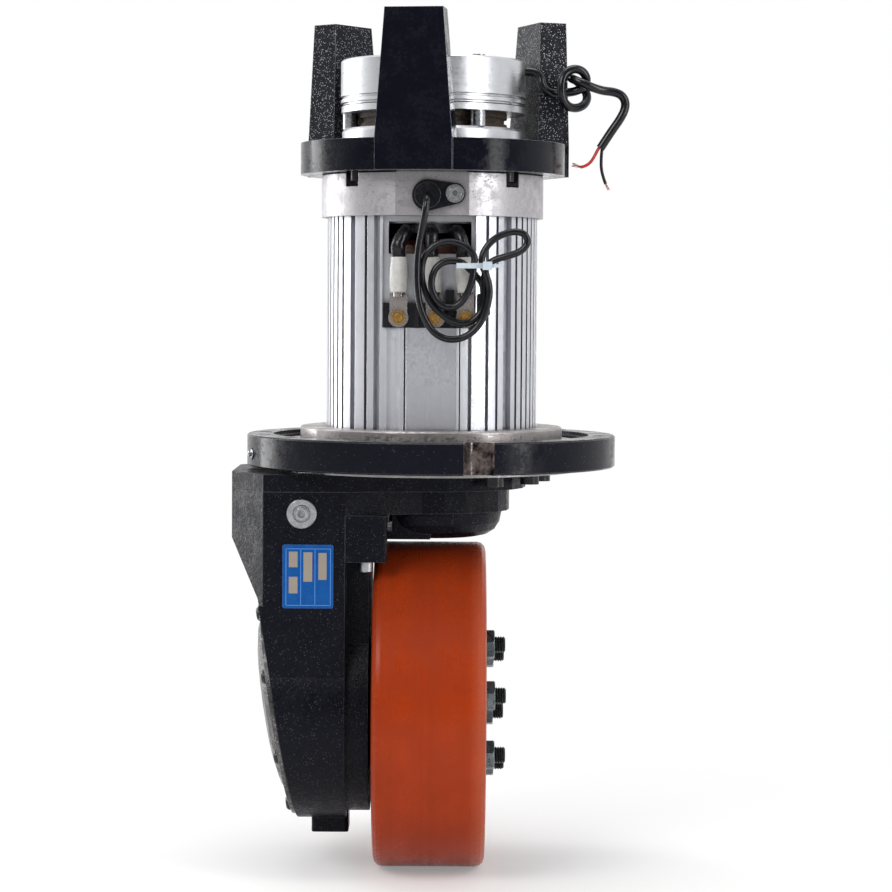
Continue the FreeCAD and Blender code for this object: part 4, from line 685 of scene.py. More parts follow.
# its light flecks are painted glints off the rough-cast paint
PAINT_BLACK = Finish("paint_black", linear(9, 10, 20), linear(12, 13, 23), roughness=0.2, specular=0.15,
                     grain_size=1.0, grain_depth=0.006, lump_size=8.0, lump_depth=0.03,
                     fleck=linear(170, 172, 178), fleck_size=0.8, fleck_share=0.22,
                     edge=linear(150, 152, 160), edge_share=0.8, edge_radius=0.7, dust=0.12,
                     zone=Zone((0.0, 62.0, 262.0), (200.0, 60.0, 56.0), rough=True))
# its light flecks are painted glints off the cast skin
CAST_BLACK = Finish("cast_black", linear(8, 9, 18), linear(15, 16, 26), roughness=0.36, specular=0.12,
                    grain_size=1.2, grain_depth=0.34, lump_size=4.0, lump_depth=0.3,
                    fleck=linear(92, 93, 104), fleck_size=0.55, fleck_share=0.05, edge=linear(96, 97, 106),
                    edge_share=0.6, edge_radius=0.9, dust=0.16)
# its light flecks are painted glints
HUB_BLACK = Finish("hub_black", linear(16, 17, 24), linear(24, 25, 32), specular=0.3, grain_size=0.9,
                   grain_depth=0.05, fleck=linear(150, 150, 155), fleck_share=0.03,
                   edge=linear(140, 140, 146), edge_share=0.5, dust=0.2)
FINS = Finish("fin_aluminium", linear(212, 213, 219), linear(196, 197, 205), roughness=0.36,
              roughness_spread=0.08, metallic=1.0, marks=Marks.DRAWN_Z, mark_pitch=0.5, mark_depth=0.04,
              edge=linear(235, 236, 240), edge_share=0.6, edge_radius=0.4)
CAST_ALUMINIUM = Finish("cast_aluminium", linear(186, 184, 187), linear(166, 163, 167), roughness=0.44,
                        roughness_spread=0.12, metallic=1.0, patch_size=7.0, grain_size=0.7,
                        grain_depth=0.06, fleck=linear(110, 107, 110), fleck_size=0.7, fleck_share=0.12,
                        edge=linear(228, 228, 230), edge_share=0.6, edge_radius=0.7, dust=0.1)
FLANGE_METAL = Finish("flange_metal", linear(172, 167, 166), linear(150, 145, 144), roughness_spread=0.14,
                      metallic=1.0, patch_size=9.0, patch_share=0.8, marks=Marks.TURNED_Z, mark_pitch=0.5,
                      mark_depth=0.03, grain_depth=0.02, edge=linear(225, 224, 224), edge_share=0.7,
                      dust=0.1)
ZINC = Finish("zinc_steel", linear(214, 215, 219), linear(196, 197, 203), roughness=0.3,
              roughness_spread=0.03, metallic=1.0, patch_size=16.0, marks=Marks.TURNED_Z, mark_pitch=0.35,
              mark_depth=0.012, edge=linear(240, 240, 242), edge_share=0.5)
# darker, teal copy of the zinc colour for the wheel nuts and shaft: painted shade, as they face away from the
# lamps
SHADED_ZINC = Finish("zinc_steel_axle", linear(126, 134, 138), linear(84, 92, 96), roughness=0.34,
                roughness_spread=0.12, metallic=1.0, patch_size=4.0, marks=Marks.TURNED_X, mark_pitch=0.35,
                mark_depth=0.02, fleck=linear(52, 58, 60), fleck_size=1.4, fleck_share=0.08,
                edge=linear(205, 208, 210), edge_share=0.6)
STUD_BLACK = Finish("stud_black", linear(34, 36, 38), linear(22, 24, 26), roughness=0.34, metallic=0.6,
                    patch_size=2.0, marks=Marks.TURNED_X, mark_pitch=0.5, mark_depth=0.01,
                    edge=linear(120, 124, 128), edge_share=0.5, edge_radius=0.2)
STEEL = Finish("machined_steel", linear(170, 168, 168), linear(148, 145, 145), roughness=0.3, metallic=1.0,
               marks=Marks.TURNED_Z, mark_pitch=0.3, mark_depth=0.03, edge=STEEL_WHITE, edge_share=0.6)
SCREW_BLACK = Finish("screw_black", linear(18, 19, 23), linear(30, 30, 35), roughness=0.32, specular=0.4,
                     grain_size=0.4, grain_depth=0.01, patch_size=2.0, edge=linear(150, 150, 154),
                     edge_share=0.8, edge_radius=0.3, dust=0.15)
ZINC_SCREW = Finish("zinc_screw", linear(188, 190, 194), linear(150, 153, 157), roughness=0.3, metallic=1.0,
                    patch_size=3.0, grain_depth=0.003, edge=linear(240, 240, 240), edge_share=0.6,
                    edge_radius=0.3)
BRASS = Finish("brass", linear(214, 168, 96), linear(168, 118, 62), roughness=0.24, metallic=1.0,
               patch_size=2.0, grain_size=0.7, grain_depth=0.004, edge=linear(245, 220, 165),
               edge_share=0.8, edge_radius=0.3)
TINNED = Finish("tinned_copper", linear(190, 184, 182), linear(150, 140, 134), roughness=0.3, metallic=1.0,
                patch_size=3.0, grain_size=0.6, grain_depth=0.02, edge=linear(235, 232, 230),
                edge_share=0.5, edge_radius=0.3)
# the edge colour also paints a sheen on the tread's outer shoulder
TYRE = Finish("polyurethane", linear(156, 50, 7), linear(138, 42, 5), roughness=0.26, roughness_spread=0.06,
              specular=0.16, patch_size=22.0, patch_share=0.55, marks=Marks.TURNED_X, mark_pitch=1.2,
              mark_depth=0.02, grain_size=3.0, grain_depth=0.01, edge=linear(190, 104, 76), edge_share=0.5,
              edge_radius=1.2, dust=0.04, banded=True)
PLASTIC = Finish("black_plastic", linear(16, 17, 22), linear(25, 26, 31), roughness=0.36, specular=0.3,
                 grain_size=0.35, grain_depth=0.02, edge=linear(80, 82, 88), edge_share=0.5,
                 edge_radius=0.4, dust=0.12)
SENSOR_BLACK = Finish("sensor_black", linear(12, 13, 20), linear(18, 19, 26), roughness=0.26, specular=0.3,
                      grain_size=0.5, grain_depth=0.01, edge=linear(120, 122, 130), edge_share=0.5,
                      edge_radius=0.6)
CABLE = Finish("cable_black", linear(10, 11, 17), linear(15, 16, 22), roughness=0.2, roughness_spread=0.05,
               specular=0.4, patch_size=5.0, grain_depth=0.003, dust=0.04)
SHRINK = Finish("shrink_tube", linear(12, 12, 17), linear(18, 18, 24), roughness=0.26, specular=0.35,
                patch_size=4.0, grain_size=1.4, grain_depth=0.1, lump_size=4.0, lump_depth=0.2)
RED_WIRE = Finish("wire_red", linear(176, 30, 30), linear(150, 22, 24), roughness=0.36, patch_size=4.0,
                  grain_size=0.6, grain_depth=0.01)
SLEEVE = Finish("sleeve_white", linear(198, 197, 193), linear(176, 173, 167), roughness=0.48,
                patch_size=3.0, grain_depth=0.05, edge=linear(232, 232, 230), edge_share=0.6,
                edge_radius=0.4)
TIE = Finish("tie_white", linear(186, 196, 206), linear(170, 182, 194), patch_size=2.0, grain_size=0.5,
             grain_depth=0.02, edge=linear(225, 230, 235), edge_share=0.5, edge_radius=0.3)
PLATE_BLUE = Finish("plate_blue", linear(14, 74, 142), linear(20, 84, 150), roughness=0.3, specular=0.12,
                    patch_size=8.0, grain_size=0.5, grain_depth=0.008, edge=linear(96, 140, 196),
                    edge_share=0.8)
PLATE_LINE = Finish("plate_line", linear(82, 138, 208), linear(72, 126, 198), roughness=0.34, specular=0.2,
                    patch_size=4.0, grain_size=0.5, grain_depth=0.01)
PLATE_FIELD = Finish("plate_field", linear(146, 132, 118), linear(134, 136, 126), roughness=0.42,
                     patch_size=3.0, grain_size=0.4, grain_depth=0.015, edge=linear(170, 178, 190),
                     edge_share=0.9, edge_radius=0.4)
COPPER = Finish("copper_winding", linear(74, 40, 26), linear(52, 28, 20), roughness=0.34, specular=0.4,
                patch_size=3.0, marks=Marks.TURNED_Z, mark_pitch=0.9, mark_depth=0.25)
LAMINATION = Finish("lamination", linear(120, 118, 120), linear(98, 96, 98), roughness=0.42, metallic=1.0,
                    marks=Marks.TURNED_Z, mark_pitch=0.5, mark_depth=0.08)
LINING = Finish("friction_lining", linear(70, 58, 48), linear(52, 44, 38), roughness=0.8, grain_size=0.7,
                grain_depth=0.12, fleck=linear(150, 122, 90), fleck_size=0.8, fleck_share=0.12)
GEAR_STEEL = Finish("gear_steel", linear(150, 148, 150), linear(122, 120, 124), roughness=0.26,
                    metallic=1.0, patch_size=5.0, marks=Marks.TURNED_Z, mark_depth=0.02, edge=STEEL_WHITE,
                    edge_share=0.6)
SEAL = Finish("seal_rubber", linear(60, 36, 28), linear(48, 30, 24), roughness=0.5, grain_size=0.6,
              grain_depth=0.03)
COVER_ZINC = Finish("cover_zinc", linear(112, 110, 110), linear(84, 83, 84), roughness=0.36,
                    roughness_spread=0.14, metallic=1.0, patch_size=6.0, patch_share=0.9, grain_size=0.9,
                    grain_depth=0.05, fleck=linear(160, 158, 156), fleck_size=1.4, fleck_share=0.08,
                    edge=linear(210, 208, 206), edge_share=0.6)
STRAND = Finish("copper_strand", linear(196, 130, 92), linear(160, 96, 64), roughness=0.3, metallic=1.0,
                patch_size=1.5, grain_size=0.3, grain_depth=0.04)

SLOT_FINISHES: dict[str, Finish] = {
    "ring_black": RING_BLACK, "machined_steel": STEEL, "cast_black": CAST_BLACK, "black_paint": PAINT_BLACK,
    "fin_aluminium": FINS, "cast_aluminium": CAST_ALUMINIUM, "flange_metal": FLANGE_METAL, "zinc_steel": ZINC,
    "screw_black": SCREW_BLACK, "zinc_screw": ZINC_SCREW, "brass": BRASS, "tinned_copper": TINNED,
    "polyurethane": TYRE, "black_plastic": PLASTIC, "cable_black": CABLE, "wire_red": RED_WIRE,
    "sleeve_white": SLEEVE, "tie_white": TIE, "plate_blue": PLATE_BLUE, "copper_winding": COPPER,
    "lamination": LAMINATION, "friction_lining": LINING, "gear_steel": GEAR_STEEL, "seal_rubber": SEAL,
}


class Workshop:
    """Makes meshes and curves and attaches them to the CAD bodies."""

    def __init__(self, paint: Paintshop) -> None:
        """Keeps the paint shop that gives the materials."""
        self.paint = paint

    def seat(self, piece: bpy.types.Object, body: str, slot: str, finish: Finish) -> bpy.types.Object:
        """Gives a piece its material and body.

        Args:
            piece: the piece.
            body: the CAD body that it moves with.
            slot: the record's material slot; not used.
            finish: its finish.

        Returns:
            The piece.
        """
        piece.data.materials.clear()
        piece.data.materials.append(self.paint.material(finish))
        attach(piece, body)
        LOG.info("%s rides on %s", piece.name, body)
        return piece

    def mesh(self, name: str, form: bmesh.types.BMesh, smooth: bool = True) -> bpy.types.Object:
        """Turns a bmesh into an object.

        Args:
            name: the object's name.
            form: the mesh, in millimetres, which is freed.
            smooth: True for smooth faces.

        Returns:
            The object.
        """
        bmesh.ops.scale(form, vec=(MM, MM, MM), verts=form.verts)
        bmesh.ops.recalc_face_normals(form, faces=form.faces)
        data = bpy.data.meshes.new(name)
        form.to_mesh(data)
        form.free()
        for face in data.polygons:
            face.use_smooth = smooth
        return stand(name, data)

    def cord(self, name: str, points: Sequence[Point], radius: float) -> bpy.types.Object:
        """Makes a round cord on one open NURBS spline.

        Args:
            name: the object's name.
            points: the spline's control points in millimetres.
            radius: the cord's radius in millimetres.

        Returns:
            The curve object.
        """
        data = bpy.data.curves.new(name, "CURVE")
        data.dimensions = "3D"
        data.bevel_depth = radius * MM
        data.bevel_resolution = 5
        data.resolution_u = 10
        data.use_fill_caps = True
        spline = data.splines.new("NURBS")
        spline.points.add(len(points) - 1)
        for point, place in zip(spline.points, points):
            point.co = (place[0] * MM, place[1] * MM, place[2] * MM, 1.0)
        spline.order_u = 3
        spline.use_endpoint_u = True
        return stand(name, data)

    def line(self, points: Sequence[Point], steps: int) -> list[Vector]:
        """Gives points along a smooth line through a few places.

        Args:
            points: the places in millimetres.
            steps: how many points there are between two places.

        Returns:
            The points.
        """
        places = [Vector(p) for p in points]
        places = [2 * places[0] - places[1]] + places + [2 * places[-1] - places[-2]]
        along = []
        for a, b, c, d in zip(places, places[1:], places[2:], places[3:]):
            for step in range(steps):
                t = step / steps
                along.append(0.5 * (2 * b + (c - a) * t + (2 * a - 5 * b + 4 * c - d) * t * t
                                    + (3 * b - a - 3 * c + d) * t * t * t))
        along.append(places[-2])
        return along

    def tube(self, name: str, path: Sequence[Vector], radius: Callable[[float, float, Vector], float],
             sides: int, bore: float = 0.0) -> bpy.types.Object:
        """Sweeps a ring of changing radius along a path, with closed ends or a bore.

        Args:
            name: the object's name.
            path: points along the middle.
            radius: gives the radius from the share of the path, the angle and the point.
            sides: how many points a ring has.
            bore: the radius of the bore, or 0 for a solid.

        Returns:
            The object.
        """
        form = bmesh.new()
        side = Vector((0.0, 1.0, 0.0))
        outer = []
        inner = []
        for index, spot in enumerate(path):
            ahead = path[min(index + 1, len(path) - 1)] - path[max(index - 1, 0)]
            ahead.normalize()
            side = (side - ahead * side.dot(ahead)).normalized()
            other = ahead.cross(side)
            turns = [2 * math.pi * step / sides for step in range(sides)]
            ways = [side * math.cos(turn) + other * math.sin(turn) for turn in turns]
            share = index / (len(path) - 1)
            outer.append([form.verts.new(spot + way * radius(share, turn, spot))
                          for turn, way in zip(turns, ways)])
            if bore:
                inner.append([form.verts.new(spot + way * bore) for way in ways])
        walls = outer + inner[::-1] + (outer[:1] if bore else [])
        for low, high in zip(walls, walls[1:]):
            bridge(form, low, high)
        if not bore:
            form.faces.new(outer[0][::-1])
            form.faces.new(outer[-1])
        return self.mesh(name, form)

    def tile(self, form: bmesh.types.BMesh, low: Point, high: Point, round_off: float) -> None:
        """Adds a block with rounded edges to a bmesh.

        Args:
            form: the bmesh, in millimetres.
            low: the block's lowest corner.
            high: its highest corner.
            round_off: how far its edges are rounded.
        """
        middle = (Vector(low) + Vector(high)) / 2
        size = Vector(high) - Vector(low)
        shape = Matrix.Translation(middle) @ Matrix.Diagonal(size).to_4x4()
        made = bmesh.ops.create_cube(form, size=1.0, matrix=shape)["verts"]
        edges = list({edge for vert in made for edge in vert.link_edges})
        bmesh.ops.bevel(form, geom=edges, offset=round_off, segments=2, affect="EDGES", profile=0.5)


@dataclass
class SensorCable:
    """The speed sensor's cable with its tied coil and the loop beyond the tie."""

    shop: Workshop
    radius: float = 2.35
    length: float = 528.4
    route: tuple = (
        (-3, -82.32, 165.6), (-3, -87.32, 165.6), (-3.3, -91.82, 163), (-3.8, -94.32, 158.4),
        (-4.7, -94.32, 152), (-6.6, -93.32, 141.6), (-8.9, -92.8, 129), (-9.9, -93, 116.6), (-9.6, -93.2, 103),
        (-7.6, -93.2, 89), (-1.6, -93.2, 76), (5.4, -93.4, 69.6), (14.4, -93.6, 67.4), (24.3, -93.9, 70),
        (32, -93.9, 77), (36.6, -93.9, 86), (39, -93.9, 96), (39.2, -93.9, 103), (37.2, -93.9, 111),
        (34, -93.8, 117.6), (33.6, -93.6, 124), (37.8, -92.6, 132), (44.5, -91.8, 137.6), (54, -91.6, 141),
        (62.4, -91.6, 140), (65.4, -91.6, 133.6), (60.4, -91.8, 127.2), (50, -91, 124), (42, -89.8, 121.8),
        (36.5, -88.9, 117.6), (35.4, -88.7, 108), (36, -88.8, 98), (34.6, -89, 88), (30, -89.2, 81.8),
        (23.6, -89.6, 78), (13.5, -90.2, 80.2), (5, -90.1, 86), (-2.2, -89.6, 95), (-6.2, -88.7, 105.6),
        (-7, -88.6, 115.6), (-4.8, -88.8, 125), (2, -89, 132), (10.1, -89.6, 134), (18.9, -90.6, 133),
        (26, -91.8, 128.6), (29.4, -93.2, 123), (28.4, -93.9, 117.6), (27.6, -93.9, 108), (24, -93.4, 98),
        (18, -92.8, 90.5), (10.1, -92.4, 89), (3.4, -92.2, 93.7), (-0.6, -91.8, 103.5), (1, -91.6, 113.4),
        (5.6, -91.6, 119), (12.1, -91.6, 121.2), (19.6, -91, 120.4), (23.6, -89.8, 117.6), (28, -87.5, 113),
        (30.6, -85, 110.5), (33.4, -83, 107.5), (35.1, -82, 103.5), (35.3, -81.5, 99),
    )

    def build(self) -> None:
        cable = self.shop.cord("sensor_cable_run", self.route, self.radius)
        self.shop.seat(cable, "unit", "cable_black", CABLE)
        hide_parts("sensor_cable", "sensor_cable_coil")


@dataclass
class BrakeCable:
    """The brake's knotted cable with its two wires and their bared strands."""

    shop: Workshop
    radius: float = 3.1
    wire_radius: float = 1.1
    length: float = 235.8
    route: tuple = (
        (64.6, -7.0, 255.0), (69.6, -7.1, 255.0), (73.2, -7.6, 253.4), (75.5, -8.4, 250.2), (76.0, -9.2, 246.2),
        (77.8, -9.4, 242.6), (81.2, -8.6, 240.2), (86.4, -6.4, 239.9),
        (93.0, -4.6, 240.6), (99.6, -4.8, 241.4), (105.4, -6.6, 244.0), (108.0, -9.4, 249.4),
        (105.0, -11.8, 255.0), (98.6, -13.6, 257.0), (92.4, -15.4, 254.0), (89.8, -17.0, 248.0),
        (89.4, -17.4, 241.0), (90.6, -16.2, 234.4), (95.0, -13.0, 229.8), (101.2, -8.4, 229.4),
        (106.6, -3.4, 232.4), (108.8, 0.6, 238.0), (106.6, 2.6, 244.0), (101.6, 1.6, 248.8),
        (97.4, -3.6, 251.0), (96.4, -9.8, 250.4), (99.6, -15.2, 248.4), (105.6, -17.2, 245.8),
        (112.0, -15.6, 243.2), (119.0, -12.6, 241.4), (126.0, -10.8, 241.0), (131.8, -10.3, 239.0),
        (134.8, -10.3, 234.4), (134.4, -10.4, 228.4), (130.6, -10.7, 221.2), (125.0, -11.0, 213.4),
        (117.4, -11.0, 201.5),
    )
    red_route: tuple = (
        (118.6, -11.2, 204.0), (116.3, -11.4, 202.1), (113.2, -11.4, 195.6), (110.2, -11.7, 191.0),
        (105.9, -12.0, 188.5), (103.5, -12.1, 188.3),
    )
    black_route: tuple = (
        (119.6, -10.8, 204.6), (118.6, -10.6, 201.7), (118.0, -10.6, 193.7), (118.2, -10.6, 186.6),
        (120.2, -10.6, 179.4), (121.4, -10.6, 176.6),
    )
    red_end: Point = (97.6, -12.2, 190.0)
    red_strands: int = 9
    red_spread: float = 1.3
    black_end: Point = (123.6, -10.6, 172.4)
    black_strands: int = 5
    black_spread: float = 0.7
    strand_radius: float = 0.16
    strand_sides: int = 6
    strand_steps: int = 5
    core_radius: float = 0.45
    flatness: float = 0.7
    waver: float = 0.3

    def strands(self, name: str, start: Point, end: Point, count: int, spread: float) -> bpy.types.Object:
        """Makes a fan of bare strands.

        Args:
            name: the object's name.
            start: where they leave the jacket.
            end: the middle of their ends.
            count: how many there are.
            spread: how far their ends spread.

        Returns:
            The piece.
        """
        form = bmesh.new()
        first, last = Vector(start), Vector(end)
        side = Vector((0.0, 1.0, 0.0))
        across = (last - first).normalized().cross(side).normalized()
        for index in range(count):
            turn = 2 * math.pi * index / count
            root = (first + across * (self.core_radius * math.cos(turn))
                    + side * (self.core_radius * math.sin(turn)))
            tip = last + across * (spread * math.cos(turn)) + side * (spread * self.flatness * math.sin(turn))
            bend = ((root + tip) / 2 + across * (self.waver * math.sin(3 * turn))
                    + side * (self.waver * math.cos(2 * turn)))
            rings = []
            for spot in self.shop.line((root, bend, tip), self.strand_steps):
                ring = []
                for step in range(self.strand_sides):
                    angle = 2 * math.pi * step / self.strand_sides
                    ring.append(form.verts.new(spot + across * (self.strand_radius * math.cos(angle))
                                               + side * (self.strand_radius * math.sin(angle))))
                rings.append(ring)
            for low, high in zip(rings, rings[1:]):
                bridge(form, low, high)
            form.faces.new(rings[0])
            form.faces.new(rings[-1])
        return self.shop.mesh(name, form)

    def build(self) -> None:
        cable = self.shop.cord("brake_cable_run", self.route, self.radius)
        self.shop.seat(cable, "unit", "cable_black", CABLE)
        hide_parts("brake_cable", "brake_cable_knot")
        red = self.shop.cord("red_wire_jacket", self.red_route, self.wire_radius)
        self.shop.seat(red, "unit", "wire_red", RED_WIRE)
        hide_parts("red_wire")
        black = self.shop.cord("black_wire_jacket", self.black_route, self.wire_radius)
        self.shop.seat(black, "unit", "cable_black", CABLE)
        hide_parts("black_wire")
        red_fan = self.strands("red_wire_strands", self.red_route[-1], self.red_end, self.red_strands,
                               self.red_spread)
        self.shop.seat(red_fan, "unit", "tinned_copper", STRAND)
        dark_fan = self.strands("black_wire_strands", self.black_route[-1], self.black_end, self.black_strands,
                                self.black_spread)
        self.shop.seat(dark_fan, "unit", "tinned_copper", STRAND)


@dataclass(frozen=True)
class Terminals:
    """Where the three leads stand on the terminal block: across in millimetres, and their lean in degrees."""

    places: tuple = ((-22.5, 0.0), (2.7, 4.0), (23.5, 3.0))
    front: float = -74.3
    height: float = 82.6

    def lean(self, index: int) -> float:
        """Gives a lead's lean in radians."""
        return math.radians(self.places[index][1])

    def along(self, index: int, rise: float) -> Vector:
        """Gives a point on a lead's axis.

        Args:
            index: the lead's number.
            rise: how far along the axis the point is from the terminal.

        Returns:
            The point.
        """
        lean = self.lean(index)
        return Vector((self.places[index][0] - math.sin(lean) * rise, self.front,
                       self.height + math.cos(lean) * rise))


@dataclass
class MotorLeads:
    """The three thick motor leads, in heat-shrink tube that follows the wires' lay."""

    shop: Workshop
    terminals: Terminals = Terminals()
    radius: float = 5.2
    start: float = 41.2
    straight: float = 8.0
    forward: float = 0.6
    shrink: float = 0.45
    ridge: float = 0.22
    twist: float = 2.4
    crease: float = 0.35
    steps: int = 10
    sides: int = 36
    bend: tuple = ((0.85, -70.8, 139.5), (0.78, -59.5, 141.6), (0.75, -52.0, 141.4))

    def build(self) -> None:
        """Makes the leads and lets them stand for the plain ones."""
        pieces = [self.lead(index) for index in range(len(self.terminals.places))]
        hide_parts("motor_leads")

    def lead(self, index: int) -> bpy.types.Object:
        """Makes one lead, from its sleeve up and back into the motor.

        Args:
            index: the lead's number.

        Returns:
            The piece.
        """
        start = self.terminals.along(index, self.start)
        lean = self.terminals.lean(index)
        above = start + Vector((-math.sin(lean) * self.straight, -self.forward, math.cos(lean) * self.straight))
        back = [(share * start.x, depth, height) for share, depth, height in self.bend]
        path = self.shop.line((start, above, *back), self.steps)

        def radius(share: float, angle: float, spot: Vector) -> float:
            """Gives the tube's radius, with three wires under it and soft creases across them.

            Args:
                share: the share of the path.
                angle: the angle about it.
                spot: the point on it.

            Returns:
                The radius.
            """
            turn = 3 * (angle + self.twist * share + index)
            crease = noise.noise(Vector((spot.z * 0.28, angle * 0.6, 7.0 * index)))
            return self.radius - self.shrink + self.ridge * math.cos(turn) + self.crease * crease

        piece = self.shop.tube(f"motor_lead_{index + 1}", path, radius, self.sides)
        return self.shop.seat(piece, "unit", "black_plastic", SHRINK)


@dataclass
class MarkerSleeves:
    """The pale sleeves over the crimped ends of the leads, left blank."""

    shop: Workshop
    terminals: Terminals = Terminals()
    bottom: float = 17.0
    top: float = 41.0
    bore: float = 3.7
    end_radius: float = 5.3
    most_radius: float = 6.2
    bulge: float = 0.75
    neck_from: float = 0.86
    crease: float = 0.22
    steps: int = 24
    sides: int = 32

    def build(self) -> None:
        """Makes the sleeves and lets them stand for the plain ones."""
        pieces = [self.sleeve(index) for index in range(len(self.terminals.places))]
        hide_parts("lead_sleeves")

    def sleeve(self, index: int) -> bpy.types.Object:
        """Makes one sleeve, drawn in at its ends and bulging over the crimp.

        Args:
            index: the sleeve's number.

        Returns:
            The piece.
        """
        rises = [self.bottom + (self.top - self.bottom) * step / self.steps for step in range(self.steps + 1)]
        path = [self.terminals.along(index, rise) for rise in rises]

        def radius(share: float, angle: float, spot: Vector) -> float:
            """Gives the sleeve's radius, with a bulge, soft creases and a neck at the top.

            Args:
                share: the share of the path.
                angle: the angle about it.
                spot: the point on it.

            Returns:
                The radius.
            """
            bulge = self.bulge * math.sin(math.pi * min(1.0, share / self.neck_from)) ** 0.5
            crease = self.crease * noise.noise(Vector((spot.z * 0.22, angle * 0.9, 5.0 * index + 3.0)))
            return min(self.most_radius, self.end_radius + bulge + crease)

        piece = self.shop.tube(f"marker_sleeve_{index + 1}", path, radius, self.sides, self.bore)
        return self.shop.seat(piece, "unit", "sleeve_white", SLEEVE)


@dataclass
class WheelStuds:
    """The six wheel studs with their rolled threads."""

    shop: Workshop
    count: int = 6
    first_angle: float = 15.0
    circle: float = 45.0
    radius: float = 6.0
    pitch: float = 1.75
    start: float = 9.7
    end: float = 53.3
    thread_from: float = 34.0
    depth: float = 0.95
    chamfer: float = 1.4
    columns: int = 24
    rows_per_turn: int = 6

    def stud(self, form: bmesh.types.BMesh, angle: float) -> None:
        """Adds one stud to the bmesh.

        Args:
            form: the bmesh, in millimetres.
            angle: where the stud stands on its circle, in radians.
        """
        middle = Vector((0.0, -self.circle * math.sin(angle), AXLE_Z + self.circle * math.cos(angle)))
        places = [self.start, self.thread_from]
        step = self.pitch / self.rows_per_turn
        while places[-1] + step < self.end:
            places.append(places[-1] + step)
        places.append(self.end)
        rings = []
        for place in places:
            ring = []
            for column in range(self.columns):
                turn = 2 * math.pi * column / self.columns
                phase = (place / self.pitch - turn / (2 * math.pi)) % 1.0
                groove = self.depth * abs(2 * phase - 1) if place > self.thread_from else 0.0
                reach = min(self.radius - groove, self.radius - max(0.0, place - self.end + self.chamfer))
                spot = middle + Vector((place, reach * math.cos(turn), reach * math.sin(turn)))
                ring.append(form.verts.new(spot))
            rings.append(ring)
        for low, high in zip(rings, rings[1:]):
            bridge(form, low, high)
        form.faces.new(rings[0])
        form.faces.new(rings[-1])

    def build(self) -> None:
        """Makes the studs and lets them stand for the plain ones."""
        form = bmesh.new()
        for index in range(self.count):
            self.stud(form, math.radians(self.first_angle + 360 / self.count * index))
        piece = self.shop.mesh("threaded_wheel_studs", form, smooth=False)
        self.shop.seat(piece, "wheel", "zinc_screw", STUD_BLACK)
        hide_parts("wheel_studs")


@dataclass
class RatingPlate:
    """The blue plate's raised border, column lines and blank fields."""

    shop: Workshop
    left: float = -100.6
    right: float = -65.9
    bottom: float = -116.4
    top: float = -72.8
    face: float = -76.8
    line_width: float = 0.55
    proud: float = 0.14
    bedded: float = 0.3
    line_round: float = 0.06
    field_round: float = 0.1
    border: tuple = (0.07, 0.945, 0.065, 0.953)
    columns: tuple = (0.36, 0.64)
    fields: tuple = ((0.125, 0.298, 0.108, 0.354), (0.125, 0.298, 0.504, 0.765), (0.413, 0.587, 0.119, 0.581),
                     (0.707, 0.870, 0.127, 0.55))

    def across(self, share: float) -> float:
        """Gives the X of a share of the plate's width."""
        return self.left + share * (self.right - self.left)

    def down(self, share: float) -> float:
        """Gives the Z of a share of the plate's height from its top."""
        return self.top - share * (self.top - self.bottom)

    def build(self) -> None:
        """Makes the lines and the fields."""
        front = self.face - self.proud
        back = self.face + self.bedded
        half = self.line_width / 2
        west, east, north, south = self.border
        lines = bmesh.new()
        for share in (west, east) + self.columns:
            middle = self.across(share)
            self.shop.tile(lines, (middle - half, front, self.down(south)),
                           (middle + half, back, self.down(north)), self.line_round)
        for share in (north, south):
            middle = self.down(share)
            self.shop.tile(lines, (self.across(west), front, middle - half),
                           (self.across(east), back, middle + half), self.line_round)
        self.shop.seat(self.shop.mesh("plate_lines", lines, False), "unit", "plate_blue", PLATE_LINE)
        blanks = bmesh.new()
        for west, east, north, south in self.fields:
            self.shop.tile(blanks, (self.across(west), front, self.down(south)),
                           (self.across(east), back, self.down(north)), self.field_round)
        self.shop.seat(self.shop.mesh("plate_fields", blanks, False), "unit", "plate_blue", PLATE_FIELD)


@dataclass
class Castings:
    """The CAD nodes that stay as they are and get a finish by slot or by name."""

    paint: Paintshop
    by_node: dict = field(default_factory=lambda: {
        "slew_outer_ring": RING_BLACK, "gearbox_housing": CAST_BLACK, "top_bracket": PAINT_BLACK,
        "gearbox_cover": COVER_ZINC, "sensor_housing": SENSOR_BLACK, "wheel_hub": HUB_BLACK,
        "wheel_nuts": SHADED_ZINC, "output_shaft": SHADED_ZINC,
    })

    def build(self) -> None:
        """Gives every CAD node its material."""
        slots = {part["node"]: part["material_slot"] for part in frame["record"]["subparts"]}
        for name, node in frame["nodes"].items():
            finish = self.by_node.get(name) or SLOT_FINISHES[slots[name]]
            if not node.material_slots:
                node.data.materials.append(None)
            for place in node.material_slots:
                place.material = self.paint.material(finish)
            LOG.info("%s finished as %s", name, finish.name)


